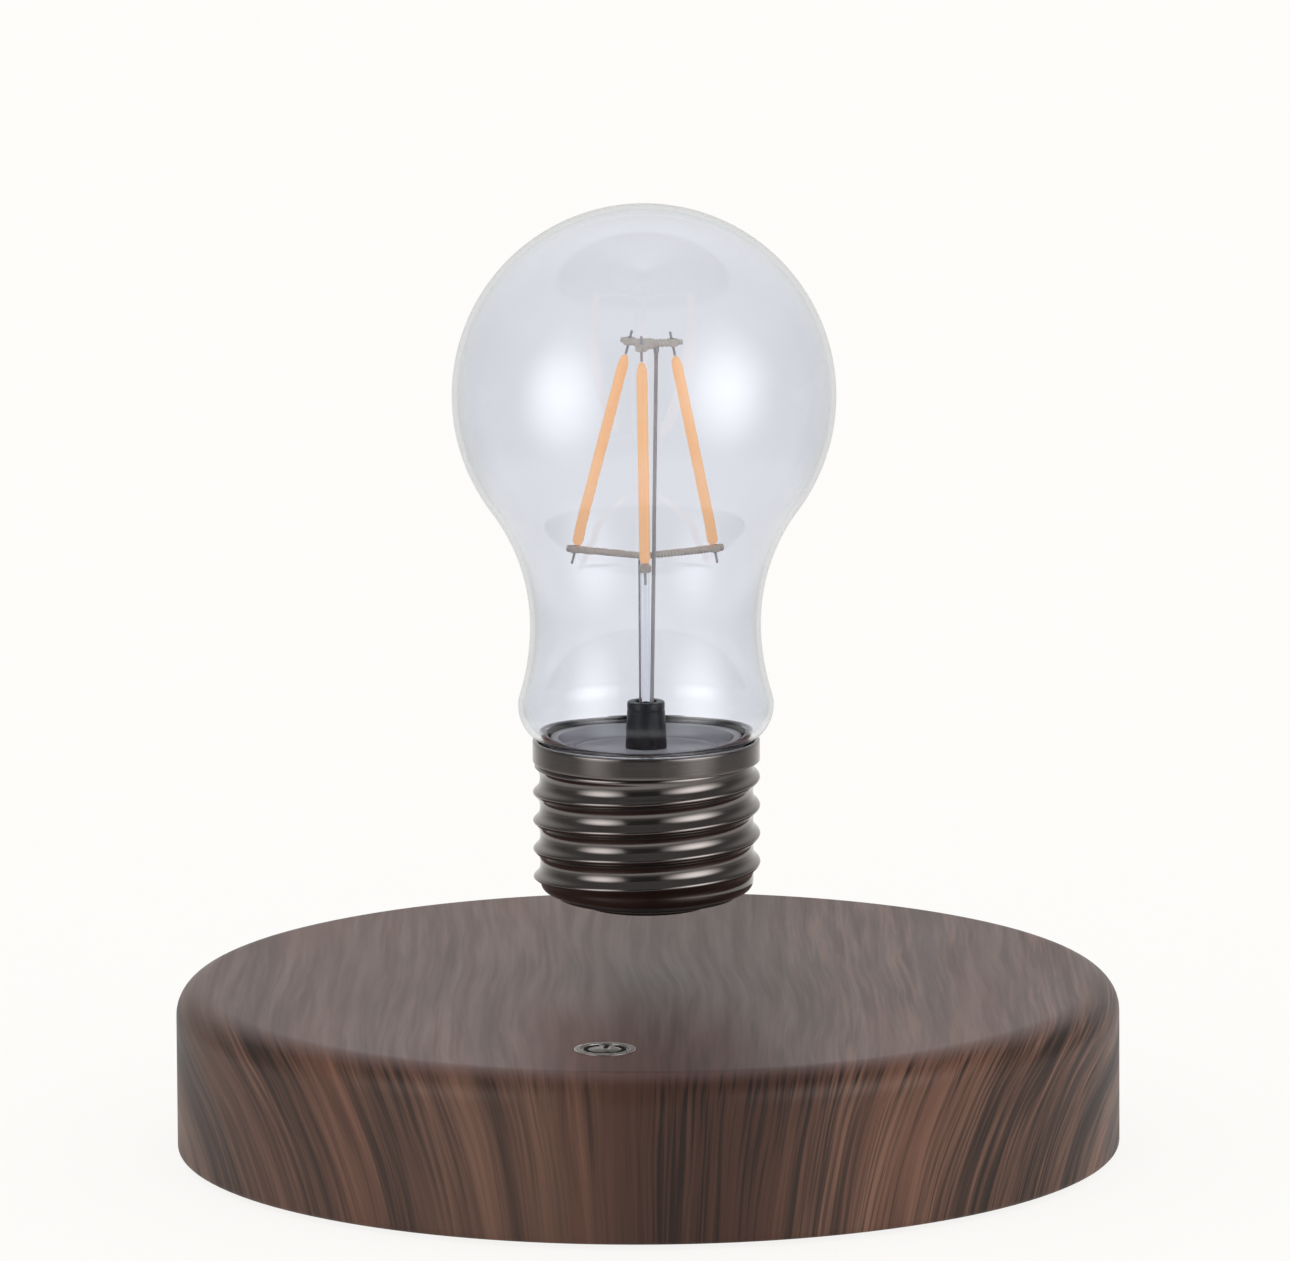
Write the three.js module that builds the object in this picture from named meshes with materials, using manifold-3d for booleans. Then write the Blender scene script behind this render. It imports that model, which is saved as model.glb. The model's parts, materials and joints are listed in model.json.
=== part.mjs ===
// Levitating lamp: a screw-cap filament bulb that floats and spins above a round walnut-finish base.
// Millimetres, +Z up. The origin is on the table under the middle of the base, and -Y is the front.
import * as THREE from "three";
import { mergeVertices } from "three/addons/utils/BufferGeometryUtils.js";
import Module from "manifold-3d";

const wasm = await Module();
wasm.setup();

// Clearances
const FIT = 0.2; // beside a piece that sits in a hole
const SEAT = 0.1; // under a piece that stands on another
const OVERRUN = 1; // how far a cutter passes the face that it opens
const WELD = 1e-4; // vertices this close are one

// Facets round a full turn
const BIG_ROUND = 48;
const GLASS_ROUND = 32;
const CAP_ROUND = 32;
const MID_ROUND = 24;
const FOOT_ROUND = 16;
const HIDDEN_ROUND = 16;
const SMALL_ROUND = 12;
const PIN_ROUND = 8;
const WIRE_ROUND = 6;

// Base shell
const BASE_D = 148;
const SHELL_H = 26.2;
const SHELL_WALL = 3;
const SHELL_TOP = 2.6;
const TOP_EDGE_R = 4.8;
const BOTTOM_EDGE_R = 0.8;
const TOP_EDGE_STEPS = 5;
const SMALL_EDGE_STEPS = 2;

// Bottom cover, feet and screws
const COVER_T = 2.2;
const COVER_LEDGE = 1.4; // how far the cover's edge reaches under the wall
const COVER_INSET = 0.3; // the cover lies this far above the shell's rim
const FOOT_D = 12;
const FOOT_PROUD = 0.8; // below the shell's rim
const FOOT_RECESS = 0.9;
const FOOT_EDGE = 0.4;
const FOOT_INSET = 15; // from the base's edge to a foot's middle
const SCREW_D = 2.6;
const SCREW_LENGTH = 8;
const SCREW_HEAD_D = 5.2;
const SCREW_HEAD_H = 1.4;
const SCREW_SLOT_W = 0.8;
const SCREW_SLOT_L = 3.4;
const SCREW_SLOT_DEPTH = 0.7;
const BOSS_R = 3.2;
const BOSS_IN_WALL = 0.6; // how far a screw boss sinks into the wall
const CORNER_COUNT = 4;
const SCREW_ANGLE = 45;
const FOOT_ANGLE = 0;

// Touch switch
const BUTTON_INSET = 21; // from the base's edge to the switch's middle
const BEZEL_D = 9.6;
const BEZEL_H = 1.2;
const BEZEL_RING_W = 1;
const BEZEL_LIP_W = 0.8;
const BEZEL_LIP_H = 0.5;
const BEZEL_PROUD = 0.15;
const CONTACT_D = 2.4;

// Main board and what stands on it
const STANDOFF_H = 3;
const STANDOFF_R = 3;
const BOARD_T = 1.6;
const BOARD_GAP = 1.5;
const CONTROL_CHIP_W = 10;
const DRIVER_CHIP_W = 7;
const CHIP_H = 1.6;
const CONTROL_CHIP_SHARES = [-0.22, -0.08]; // of the board's radius
const DRIVER_CHIP_SHARES = [0.2, -0.16];
const FILTER_D = 8;
const FILTER_H = 10;
const FILTER_ANGLE = 64;

// Power inlet
const JACK_W = 9;
const JACK_L = 14;
const JACK_H = 11;
const JACK_GAP = 0.4; // to the shell's wall
const JACK_COLLAR_D = 8.6;
const JACK_INSET = 0.6; // the collar's face lies this far inside the shell's side
const JACK_BORE_D = 6.4;
const JACK_BORE_DEPTH = 10;
const JACK_PIN_D = 2;
const JACK_PIN_RECESS = 3.8;

// Magnet tray, magnets and coils in the base
const TRAY_LEG_H = 2.4;
const TRAY_LEG_R = 2.5;
const TRAY_LEG_INSET = 12;
const TRAY_FLOOR = 1.5;
const TRAY_RIM_W = 1.2;
const TRAY_RIM_H = 4;
const TRAY_GAP = 1; // to the touch contact
const RING_BORE_SHARE = 0.586; // of the ring magnet's outer radius
const CEILING_GAP = 0.5;
const SHIELD_T = 1;
const SHIELD_INSET = 1.5;
const TRANSMIT_T = 2;
const TRANSMIT_W = 11;
const TRANSMIT_INSET = 2.5;
const BOBBIN_FLANGE_T = 1;
const BOBBIN_SHARE = 0.311; // of the ring magnet's bore
const COIL_CIRCLE_SHARE = 0.586; // of the ring magnet's bore
const BOBBIN_HUB_SHARE = 0.445; // of the bobbin's radius
const BOBBIN_BORE_SHARE = 0.311;
const WINDING_INSET = 0.6;
const PEG_H = 4;
const SENSOR_GAP = 1;
const SENSOR_BOARD_T = 1;
const SENSOR_POST_R = 2.5;
const HALL_W = 4;
const HALL_T = 1.5;
const HALL_H = 3;
const HALL_CIRCLE = 3.4;
const HALL_ANGLES = [0, 90, 225];

// Float height and the way the bulb is turned
const LEVITATION_GAP = 12.1;
const BULB_TURN = 7.2;

// Screw cap, upwards from the face of its foot
const CAP_FOOT_D = 19.6;
const CAP_FOOT_EDGE = 0.4;
const CAP_STEP_D = 24.4;
const CAP_STEP_H = 1.15;
const CAP_STEP_W = 0.8;
const CAP_NECK_D = 28.4;
const CAP_NECK_EDGE = 0.35;
const CAP_FOOT_H = 2.2;
const SHOULDER_R = 1.75;
const THREAD_D = 35.6;
const THREAD_DEPTH = 1.1;
const THREAD_PITCH = 4.5;
const THREAD_TURNS = 4.1;
const THREAD_START = 2.9; // first crest above the shoulder, on the +X side
const THREAD_RUNOUT = 0.7;
const THREAD_SHARPNESS = 1.4;
const THREAD_STEPS = 6; // a turn
const BAND_H = 4.1;
const BAND_SLOPE = 0.4;
const RIM_WALL = 0.8;
const RIM_EDGE_R = 0.35;
const CAP_WALL = 1.1; // below the thread's root
const CAP_LIP_T = 0.9;

// Inside the screw cap
const CUP_FLOOR = 1.8;
const CUP_FLANGE_T = 1;
const CUP_HEADROOM = 0.4;
const LIFT_MAGNET_D = 24.8;
const LIFT_MAGNET_H = 6;
const LIFT_CLEARANCE = 0.3;
const RECEIVER_H = 6;
const RECEIVER_FLANGE_T = 0.9;
const RECEIVER_HUB_D = 19;
const RECEIVER_BORE_D = 16;
const RECEIVER_INSET = 0.8;
const RECTIFIER_T = 1.6;
const SMOOTHING_D = 6;
const SMOOTHING_H = 4;
const SMOOTHING_SHARE = 0.4; // of the board's radius
const DECK_BELOW_RIM = 0.4;
const DECK_RING_W = 1.5;
const DECK_RING_H = 2.5;
const DECK_SLOPE = 0.4;
const DECK_T = 1.4;
const DECK_SKIRT_W = 1.4;

// Glass
const GLOBE_R = 30;
const NECK_ARC_R = 31; // above the waist
const NECK_LOW_ARC_R = 37; // below it
const NECK_PINCH = 1.95; // how far the neck's waist lies inside the flare
const FLARE_OVERHANG = 2.2; // beyond the cap
const FLARE_ARC_R = 6;
const GLASS_WALL = 0.9;
const GLASS_INSERT = 2.1; // depth of the glass in the cap's rim
const GLASS_FIT = 0.3;
const GLOBE_STEPS = 10;
const NECK_STEPS = 3;
const NECK_LOW_STEPS = 2;
const FLARE_STEPS = 4;

// Stem and filament cage
const HOLDER_D = 6.6;
const HOLDER_TOP_D = 5.9;
const HOLDER_H = 8.7;
const HOLDER_EDGE = 0.3;
const SOCKET_D = 3.4;
const SOCKET_DEPTH = 3;
const STEM_D = 1.3;
const STEM_LENGTH = 25.75;
const LEAD_WIRE_D = 0.34;
const LEAD_WIRE_OFFSET = 1.05;
const MAST_D = 0.6;
const MAST_FOOT = [0.95, -0.6]; // where it leaves the holder
const MAST_REACH = 1.4; // from the top bracket's middle
const CAGE_H = 33.2; // from the lower bracket to the top one
const BRACKET_T = 1.2;
const ARM_W = 1.2;
const EYE_D = 2;
const EYE_BORE_D = 1;
const LOWER_EYE_R = 12.6;
const LOWER_ARM_LENGTH = 14.1;
const LOWER_ARM_ANGLE = 30;
const TOP_EYE_R = 4;
const TOP_ARM_LENGTH = 5.7;
const TOP_ARM_ANGLE = 16;
const TOP_HUB = [0.6, -0.6];
const FILAMENT_COUNT = 3;
const FILAMENT_D = 1.7;
const FILAMENT_END_R = 0.5;
const FILAMENT_FOOT_GAP = 1; // along the filament, from the lower bracket's middle
const FILAMENT_TOP_GAP = 2.3;
const LEAD_D = 0.4;
const FOOT_LEAD_DROP = 2.6;
const TOP_LEAD_RISE = 1.8;

// Places in the base
const BASE_R = BASE_D / 2;
const BASE_TOP = FOOT_PROUD + SHELL_H;
const INNER_R = BASE_R - SHELL_WALL;
const CEILING = BASE_TOP - SHELL_TOP;
const COVER_Z = FOOT_PROUD + COVER_INSET;
const COVER_TOP = COVER_Z + COVER_T;
const COVER_R = INNER_R + COVER_LEDGE - FIT;
const SCREW_CIRCLE = INNER_R - BOSS_R + BOSS_IN_WALL;
const FOOT_CIRCLE = BASE_R - FOOT_INSET;
const BUTTON_CIRCLE = BASE_R - BUTTON_INSET;
const BEZEL_Z = BASE_TOP - BEZEL_H;
const BEZEL_INNER_R = BEZEL_D / 2 - BEZEL_RING_W;
const BEZEL_LIP_R = BEZEL_INNER_R - BEZEL_LIP_W;
const PLATE_Z = BEZEL_Z + SEAT + BEZEL_LIP_H + SEAT;
const BOARD_Z = COVER_TOP + STANDOFF_H;
const BOARD_TOP = BOARD_Z + BOARD_T;
const BOARD_R = SCREW_CIRCLE - BOSS_R - BOARD_GAP;
const TRAY_R = BUTTON_CIRCLE - CONTACT_D / 2 - TRAY_GAP;
const LEG_CIRCLE = TRAY_R - TRAY_LEG_INSET;
const TRAY_Z = BOARD_TOP + TRAY_LEG_H;
const TRAY_TOP = TRAY_Z + TRAY_FLOOR;
const MAGNET_Z = TRAY_TOP + SEAT;
const TRANSMIT_Z = CEILING - CEILING_GAP - TRANSMIT_T;
const SHIELD_Z = TRANSMIT_Z - SEAT - SHIELD_T;
const MAGNET_H = SHIELD_Z - SEAT - MAGNET_Z;
const RING_R = TRAY_R - TRAY_RIM_W - FIT;
const RING_INNER_R = RING_R * RING_BORE_SHARE;
const COIL_CIRCLE = RING_INNER_R * COIL_CIRCLE_SHARE;
const BOBBIN_R = RING_INNER_R * BOBBIN_SHARE;
const BOBBIN_HUB_R = BOBBIN_R * BOBBIN_HUB_SHARE;
const BOBBIN_BORE_R = BOBBIN_R * BOBBIN_BORE_SHARE;
const SENSOR_Z = MAGNET_Z + MAGNET_H / 2;
const SENSOR_BOARD_R = COIL_CIRCLE - BOBBIN_R - SENSOR_GAP;
const JACK_FRONT = INNER_R - JACK_GAP;
const JACK_FACE = BASE_R - JACK_INSET;
const JACK_Z = BOARD_TOP + SEAT + JACK_H / 2;

// Places in the bulb, upwards from the face of the cap's foot
const BULB_Z = BASE_TOP + LEVITATION_GAP;
const CAP_R = THREAD_D / 2;
const ROOT_R = CAP_R - THREAD_DEPTH;
const BORE_R = ROOT_R - CAP_WALL;
const CAP_LIP_R = CAP_NECK_D / 2 + GLASS_FIT;
const THREAD_Z = CAP_FOOT_H + SHOULDER_R;
const BAND_Z = THREAD_Z + THREAD_TURNS * THREAD_PITCH;
const RIM_Z = BAND_Z + BAND_H;
const RIM_INNER_R = CAP_R - RIM_WALL;
const GLASS_SEAT_Z = RIM_Z - GLASS_INSERT;
const FLARE_R = CAP_R + FLARE_OVERHANG;
const NECK_R = FLARE_R - NECK_PINCH;
const CUP_FLANGE_Z = CAP_FOOT_H + CAP_LIP_T + SEAT;
const LIFT_MAGNET_Z = CUP_FLOOR + SEAT;
const CUP_TOP = LIFT_MAGNET_Z + LIFT_MAGNET_H + CUP_HEADROOM;
const RECEIVER_Z = CUP_TOP + SEAT;
const INSERT_R = BORE_R - FIT; // pieces that drop down the cap's bore
const RECTIFIER_Z = RECEIVER_Z + RECEIVER_H + SEAT;
const RECTIFIER_TOP = RECTIFIER_Z + RECTIFIER_T;
const DECK_RING_Z = RIM_Z - DECK_BELOW_RIM;
const DECK_Z = DECK_RING_Z - DECK_RING_H;
const FLARE_CENTRE = [
  FLARE_R - FLARE_ARC_R,
  RIM_Z + SEAT + side(FLARE_ARC_R, RIM_INNER_R - (FLARE_R - FLARE_ARC_R)),
];
const NECK_Z =
  FLARE_CENTRE[1] + side(NECK_LOW_ARC_R + FLARE_ARC_R, NECK_R + NECK_LOW_ARC_R - FLARE_CENTRE[0]);
const GLOBE_Z = NECK_Z + side(GLOBE_R + NECK_ARC_R, NECK_R + NECK_ARC_R);
const HOLDER_Z = DECK_Z + SEAT;
const HOLDER_TOP = HOLDER_Z + HOLDER_H;
const STEM_Z = HOLDER_TOP - SOCKET_DEPTH + SEAT;
const STEM_TOP = STEM_Z + STEM_LENGTH;
const LOWER_BRACKET_Z = STEM_TOP + SEAT + BRACKET_T / 2;
const TOP_BRACKET_Z = LOWER_BRACKET_Z + CAGE_H;

// Finishes
const finish = (color, roughness, metalness = 0) =>
  new THREE.MeshStandardMaterial({ color, roughness, metalness });
const WALNUT = finish(0x57443b, 0.5);
const BLACK_PLASTIC = finish(0x1d1b1b, 0.5);
const RUBBER = finish(0x141414, 0.9);
const STEEL = finish(0x9b9a97, 0.35, 1);
const SWITCH_METAL = finish(0xb9b7b3, 0.35, 1);
const BOARD_GREEN = finish(0x1f4a35, 0.6);
const CHIP = finish(0x17181a, 0.5);
const SLEEVE = finish(0x232a44, 0.45);
const COPPER = finish(0x9a5330, 0.4, 1);
const FERRITE = finish(0x3a3a3c, 0.7);
const WHITE_PLASTIC = finish(0xd7d3ca, 0.6);
const GLASS = new THREE.MeshStandardMaterial({
  color: 0xe6edf2,
  roughness: 0.05,
  transparent: true,
  opacity: 0.3,
});
const BLACK_NICKEL = finish(0x4a4340, 0.22, 1);
const WIRE = finish(0x8a847c, 0.35, 1);
const PHOSPHOR = finish(0xf0a560, 0.55);
const NICKEL = finish(0xa9a7a2, 0.25, 1);

// Geometry helpers

// The other short side of a right triangle.
function side(hypotenuse, short) {
  return Math.sqrt(hypotenuse * hypotenuse - short * short);
}

const { degToRad, radToDeg, clamp } = THREE.MathUtils;

// A point at a distance and an angle from the axis.
function polar(radius, angle) {
  return [radius * Math.cos(degToRad(angle)), radius * Math.sin(degToRad(angle))];
}

// Equal shares of a turn, from a first angle.
function around(count, first) {
  return Array.from({ length: count }, (_, i) => first + (360 * i) / count);
}

// Points of an arc in a profile. Angles are in degrees from the outward direction.
function arc([r, z], radius, from, to, steps) {
  return Array.from({ length: steps + 1 }, (_, i) => {
    const [across, up] = polar(radius, from + ((to - from) * i) / steps);
    return [r + across, z + up];
  });
}

// A profile of [radius, height] points turned about the Z axis. It starts and ends on the axis, or it is
// a loop that is closed here.
function turned(profile, facets) {
  const points = profile.map(([r, z]) => new THREE.Vector2(r, z));
  if (THREE.ShapeUtils.area(points) < 0) points.reverse();
  if (points[0].x > 0) points.push(points[0].clone());
  return new THREE.LatheGeometry(points, facets).rotateX(Math.PI / 2);
}

// A round bar along Z.
function bar(radius, low, high, facets) {
  return new THREE.CylinderGeometry(radius, radius, high - low, facets)
    .rotateX(Math.PI / 2)
    .translate(0, 0, (low + high) / 2);
}

// A round bar along Y at a height.
function barAlongY(radius, near, far, height, facets) {
  return new THREE.CylinderGeometry(radius, radius, far - near, facets).translate(
    0,
    (near + far) / 2,
    height,
  );
}

// A flat ring.
function ring(inner, outer, low, high, facets) {
  return turned([[inner, low], [outer, low], [outer, high], [inner, high]], facets);
}

// A box that stands on a height.
function block(width, depth, height, [x, y], low) {
  return new THREE.BoxGeometry(width, depth, height).translate(x, y, low + height / 2);
}

// A closed mesh as a solid for cutting and joining, and back.
function solidOf(geometry) {
  const bare = geometry.index ? geometry.toNonIndexed() : geometry.clone();
  bare.deleteAttribute("normal");
  bare.deleteAttribute("uv");
  const merged = mergeVertices(bare, WELD);
  const vertProperties = merged.attributes.position.array;
  const triVerts = new Uint32Array(merged.index.array);
  return new wasm.Manifold(new wasm.Mesh({ numProp: 3, vertProperties, triVerts }));
}

function geometryOf(solid) {
  const { vertProperties, triVerts } = solid.getMesh();
  const geometry = new THREE.BufferGeometry();
  geometry.setAttribute("position", new THREE.BufferAttribute(vertProperties, 3));
  geometry.setIndex(new THREE.BufferAttribute(triVerts, 1));
  const flat = geometry.toNonIndexed();
  flat.computeVertexNormals();
  return flat;
}

function join(body, additions) {
  return additions.reduce((sum, piece) => sum.add(solidOf(piece)), solidOf(body));
}

function cut(body, cutters) {
  return cutters.reduce((rest, cutter) => rest.subtract(solidOf(cutter)), body);
}

function add(group, name, geometry, material) {
  const mesh = new THREE.Mesh(geometry, material);
  mesh.name = name;
  group.add(mesh);
  return mesh;
}

// Base

// Drum with a rounded top edge, four screw bosses, the switch's stepped hole and the inlet's hole.
function baseShell() {
  const innerEdge = Math.max(TOP_EDGE_R - SHELL_TOP, FIT);
  const drum = turned(
    [
      [0, CEILING],
      ...arc([INNER_R - innerEdge, CEILING - innerEdge], innerEdge, 90, 0, SMALL_EDGE_STEPS),
      [INNER_R, COVER_TOP + SEAT],
      [INNER_R + COVER_LEDGE, COVER_TOP + SEAT],
      [INNER_R + COVER_LEDGE, FOOT_PROUD],
      ...arc([BASE_R - BOTTOM_EDGE_R, FOOT_PROUD + BOTTOM_EDGE_R], BOTTOM_EDGE_R, -90, 0, SMALL_EDGE_STEPS),
      ...arc([BASE_R - TOP_EDGE_R, BASE_TOP - TOP_EDGE_R], TOP_EDGE_R, 0, 90, TOP_EDGE_STEPS),
      [0, BASE_TOP],
    ],
    BIG_ROUND,
  );
  const corners = around(CORNER_COUNT, SCREW_ANGLE).map((angle) => polar(SCREW_CIRCLE, angle));
  const bossTop = CEILING + SHELL_TOP / 2;
  const bosses = corners.map(([x, y]) =>
    bar(BOSS_R, COVER_TOP + SEAT, bossTop, SMALL_ROUND).translate(x, y, 0),
  );
  const screwHoles = corners.map(([x, y]) =>
    bar(SCREW_D / 2 + FIT, COVER_Z, COVER_Z + SCREW_HEAD_H + SCREW_LENGTH + OVERRUN, PIN_ROUND).translate(x, y, 0),
  );
  const counterbore = bar(BEZEL_D / 2 + FIT, BEZEL_Z, BASE_TOP + OVERRUN, MID_ROUND);
  const throughHole = bar(BEZEL_LIP_R + FIT, CEILING - OVERRUN, BASE_TOP, MID_ROUND);
  const inletHole = barAlongY(
    JACK_COLLAR_D / 2 + FIT,
    JACK_FRONT - OVERRUN,
    BASE_R + OVERRUN,
    JACK_Z,
    MID_ROUND,
  );
  return cut(join(drum, bosses), [
    ...screwHoles,
    counterbore.translate(0, -BUTTON_CIRCLE, 0),
    throughHole.translate(0, -BUTTON_CIRCLE, 0),
    inletHole,
  ]);
}

// Disc with standoffs for the board, foot recesses and counterbored screw holes.
function bottomCover() {
  const disc = turned([[0, COVER_Z], [COVER_R, COVER_Z], [COVER_R, COVER_TOP], [0, COVER_TOP]], BIG_ROUND);
  const standoffs = around(CORNER_COUNT, SCREW_ANGLE).map((angle) =>
    bar(STANDOFF_R, COVER_Z + COVER_T / 2, BOARD_Z - SEAT, SMALL_ROUND).translate(...polar(LEG_CIRCLE, angle), 0),
  );
  const recesses = around(CORNER_COUNT, FOOT_ANGLE).map((angle) =>
    bar(FOOT_D / 2 + FIT, COVER_Z - OVERRUN, COVER_Z + FOOT_RECESS, FOOT_ROUND).translate(
      ...polar(FOOT_CIRCLE, angle),
      0,
    ),
  );
  const screwHoles = around(CORNER_COUNT, SCREW_ANGLE).flatMap((angle) => [
    bar(SCREW_D / 2 + FIT, COVER_Z - OVERRUN, COVER_TOP + OVERRUN, PIN_ROUND).translate(
      ...polar(SCREW_CIRCLE, angle),
      0,
    ),
    bar(SCREW_HEAD_D / 2 + FIT, COVER_Z - OVERRUN, COVER_Z + SCREW_HEAD_H, SMALL_ROUND).translate(
      ...polar(SCREW_CIRCLE, angle),
      0,
    ),
  ]);
  return cut(join(disc, standoffs), [...recesses, ...screwHoles]);
}

// Rubber foot with a bevelled lower edge.
function foot() {
  const radius = FOOT_D / 2;
  const top = COVER_Z + FOOT_RECESS - SEAT;
  return turned([[0, 0], [radius - FOOT_EDGE, 0], [radius, FOOT_EDGE], [radius, top], [0, top]], FOOT_ROUND);
}

// Pan-head screw with a cross slot, head down.
function coverScrew() {
  const headTop = COVER_Z + SCREW_HEAD_H - SEAT;
  const profile = [
    [0, COVER_Z],
    [SCREW_HEAD_D / 2, COVER_Z],
    [SCREW_HEAD_D / 2, headTop],
    [SCREW_D / 2, headTop],
    [SCREW_D / 2, headTop + SCREW_LENGTH],
    [0, headTop + SCREW_LENGTH],
  ];
  const slotDepth = SCREW_SLOT_DEPTH + OVERRUN;
  const slotLow = COVER_Z - OVERRUN;
  const slots = [
    block(SCREW_SLOT_L, SCREW_SLOT_W, slotDepth, [0, 0], slotLow),
    block(SCREW_SLOT_W, SCREW_SLOT_L, slotDepth, [0, 0], slotLow),
  ];
  return cut(solidOf(turned(profile, PIN_ROUND)), slots);
}

// Ring of the touch switch, with a lip that carries the plate.
function touchBezel() {
  return turned(
    [
      [BEZEL_LIP_R, BEZEL_Z + SEAT],
      [BEZEL_D / 2, BEZEL_Z + SEAT],
      [BEZEL_D / 2, BASE_TOP + BEZEL_PROUD],
      [BEZEL_INNER_R, BASE_TOP + BEZEL_PROUD],
      [BEZEL_INNER_R, BEZEL_Z + SEAT + BEZEL_LIP_H],
      [BEZEL_LIP_R, BEZEL_Z + SEAT + BEZEL_LIP_H],
    ],
    MID_ROUND,
  );
}

function addTouchSwitch(base) {
  const plate = bar(BEZEL_INNER_R - SEAT, PLATE_Z, BASE_TOP, MID_ROUND);
  const contact = bar(CONTACT_D / 2, BOARD_TOP + SEAT, PLATE_Z - SEAT, PIN_ROUND);
  const pieces = [
    add(base, "touch_bezel", touchBezel(), SWITCH_METAL),
    add(base, "touch_plate", plate, SWITCH_METAL),
    add(base, "touch_contact", contact, STEEL),
  ];
  for (const piece of pieces) piece.position.y = -BUTTON_CIRCLE;
}

// Barrel inlet: a block on the board with a round collar in the shell's hole and a pin in its bore.
function addInlet(base) {
  const body = block(JACK_W, JACK_L, JACK_H, [0, JACK_FRONT - JACK_L / 2], BOARD_TOP + SEAT);
  const collar = barAlongY(JACK_COLLAR_D / 2, JACK_FRONT - OVERRUN, JACK_FACE, JACK_Z, MID_ROUND);
  const boreEnd = JACK_FACE - JACK_BORE_DEPTH;
  const bore = barAlongY(JACK_BORE_D / 2, boreEnd, JACK_FACE + OVERRUN, JACK_Z, MID_ROUND);
  const pin = barAlongY(JACK_PIN_D / 2, boreEnd + SEAT, JACK_FACE - JACK_PIN_RECESS, JACK_Z, PIN_ROUND);
  add(base, "dc_jack", geometryOf(cut(join(body, [collar]), [bore])), BLACK_PLASTIC);
  add(base, "jack_pin", pin, STEEL);
}

function addElectronics(base) {
  add(base, "main_board", bar(BOARD_R, BOARD_Z, BOARD_TOP, MID_ROUND), BOARD_GREEN);
  const chips = [
    ["control_chip", CONTROL_CHIP_W, CONTROL_CHIP_SHARES],
    ["driver_chip", DRIVER_CHIP_W, DRIVER_CHIP_SHARES],
  ];
  for (const [name, width, shares] of chips) {
    const place = shares.map((share) => share * BOARD_R);
    add(base, name, block(width, width, CHIP_H, place, BOARD_TOP + SEAT), CHIP);
  }
  const filter = bar(FILTER_D / 2, BOARD_TOP + SEAT, BOARD_TOP + SEAT + FILTER_H, SMALL_ROUND);
  const [x, y] = polar((TRAY_R + BOARD_R) / 2, FILTER_ANGLE);
  add(base, "filter_capacitor", filter, SLEEVE).position.set(x, y, 0);
}

// Round tray on four legs, with pegs for the coils and a post for the sensor board.
function magnetTray() {
  const middle = TRAY_Z + TRAY_FLOOR / 2;
  const dish = turned(
    [
      [0, TRAY_Z],
      [TRAY_R, TRAY_Z],
      [TRAY_R, TRAY_TOP + TRAY_RIM_H],
      [TRAY_R - TRAY_RIM_W, TRAY_TOP + TRAY_RIM_H],
      [TRAY_R - TRAY_RIM_W, TRAY_TOP],
      [0, TRAY_TOP],
    ],
    HIDDEN_ROUND,
  );
  const legs = around(CORNER_COUNT, SCREW_ANGLE).map((angle) =>
    bar(TRAY_LEG_R, BOARD_TOP + SEAT, middle, PIN_ROUND).translate(...polar(LEG_CIRCLE, angle), 0),
  );
  const pegs = around(CORNER_COUNT, FOOT_ANGLE).map((angle) =>
    bar(BOBBIN_BORE_R - FIT, middle, TRAY_TOP + PEG_H, PIN_ROUND).translate(...polar(COIL_CIRCLE, angle), 0),
  );
  const post = bar(SENSOR_POST_R, middle, SENSOR_Z - SEAT, PIN_ROUND);
  return join(dish, [...legs, ...pegs, post]);
}

// Flanged spool: a profile that runs round the bore, the hub and both flanges.
function spool(boreR, hubR, flangeR, flangeT, low, high, facets) {
  return turned(
    [
      [boreR, low],
      [flangeR, low],
      [flangeR, low + flangeT],
      [hubR, low + flangeT],
      [hubR, high - flangeT],
      [flangeR, high - flangeT],
      [flangeR, high],
      [boreR, high],
    ],
    facets,
  );
}

function addCoils(base) {
  const top = MAGNET_Z + MAGNET_H;
  around(CORNER_COUNT, FOOT_ANGLE).forEach((angle, i) => {
    const [x, y] = polar(COIL_CIRCLE, angle);
    const bobbin = spool(
      BOBBIN_BORE_R,
      BOBBIN_HUB_R,
      BOBBIN_R,
      BOBBIN_FLANGE_T,
      MAGNET_Z,
      top,
      SMALL_ROUND,
    );
    const winding = ring(
      BOBBIN_HUB_R + FIT,
      BOBBIN_R - WINDING_INSET,
      MAGNET_Z + BOBBIN_FLANGE_T + SEAT,
      top - BOBBIN_FLANGE_T - SEAT,
      SMALL_ROUND,
    );
    add(base, `coil_bobbin_${i + 1}`, bobbin, WHITE_PLASTIC).position.set(x, y, 0);
    add(base, `coil_winding_${i + 1}`, winding, COPPER).position.set(x, y, 0);
  });
}

function addSensors(base) {
  const boardTop = SENSOR_Z + SENSOR_BOARD_T;
  add(base, "sensor_board", bar(SENSOR_BOARD_R, SENSOR_Z, boardTop, SMALL_ROUND), BOARD_GREEN);
  HALL_ANGLES.forEach((angle, i) => {
    const sensor = block(HALL_T, HALL_W, HALL_H, [HALL_CIRCLE, 0], boardTop + SEAT);
    add(base, `hall_sensor_${i + 1}`, sensor, CHIP).rotation.z = degToRad(angle);
  });
}

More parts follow.
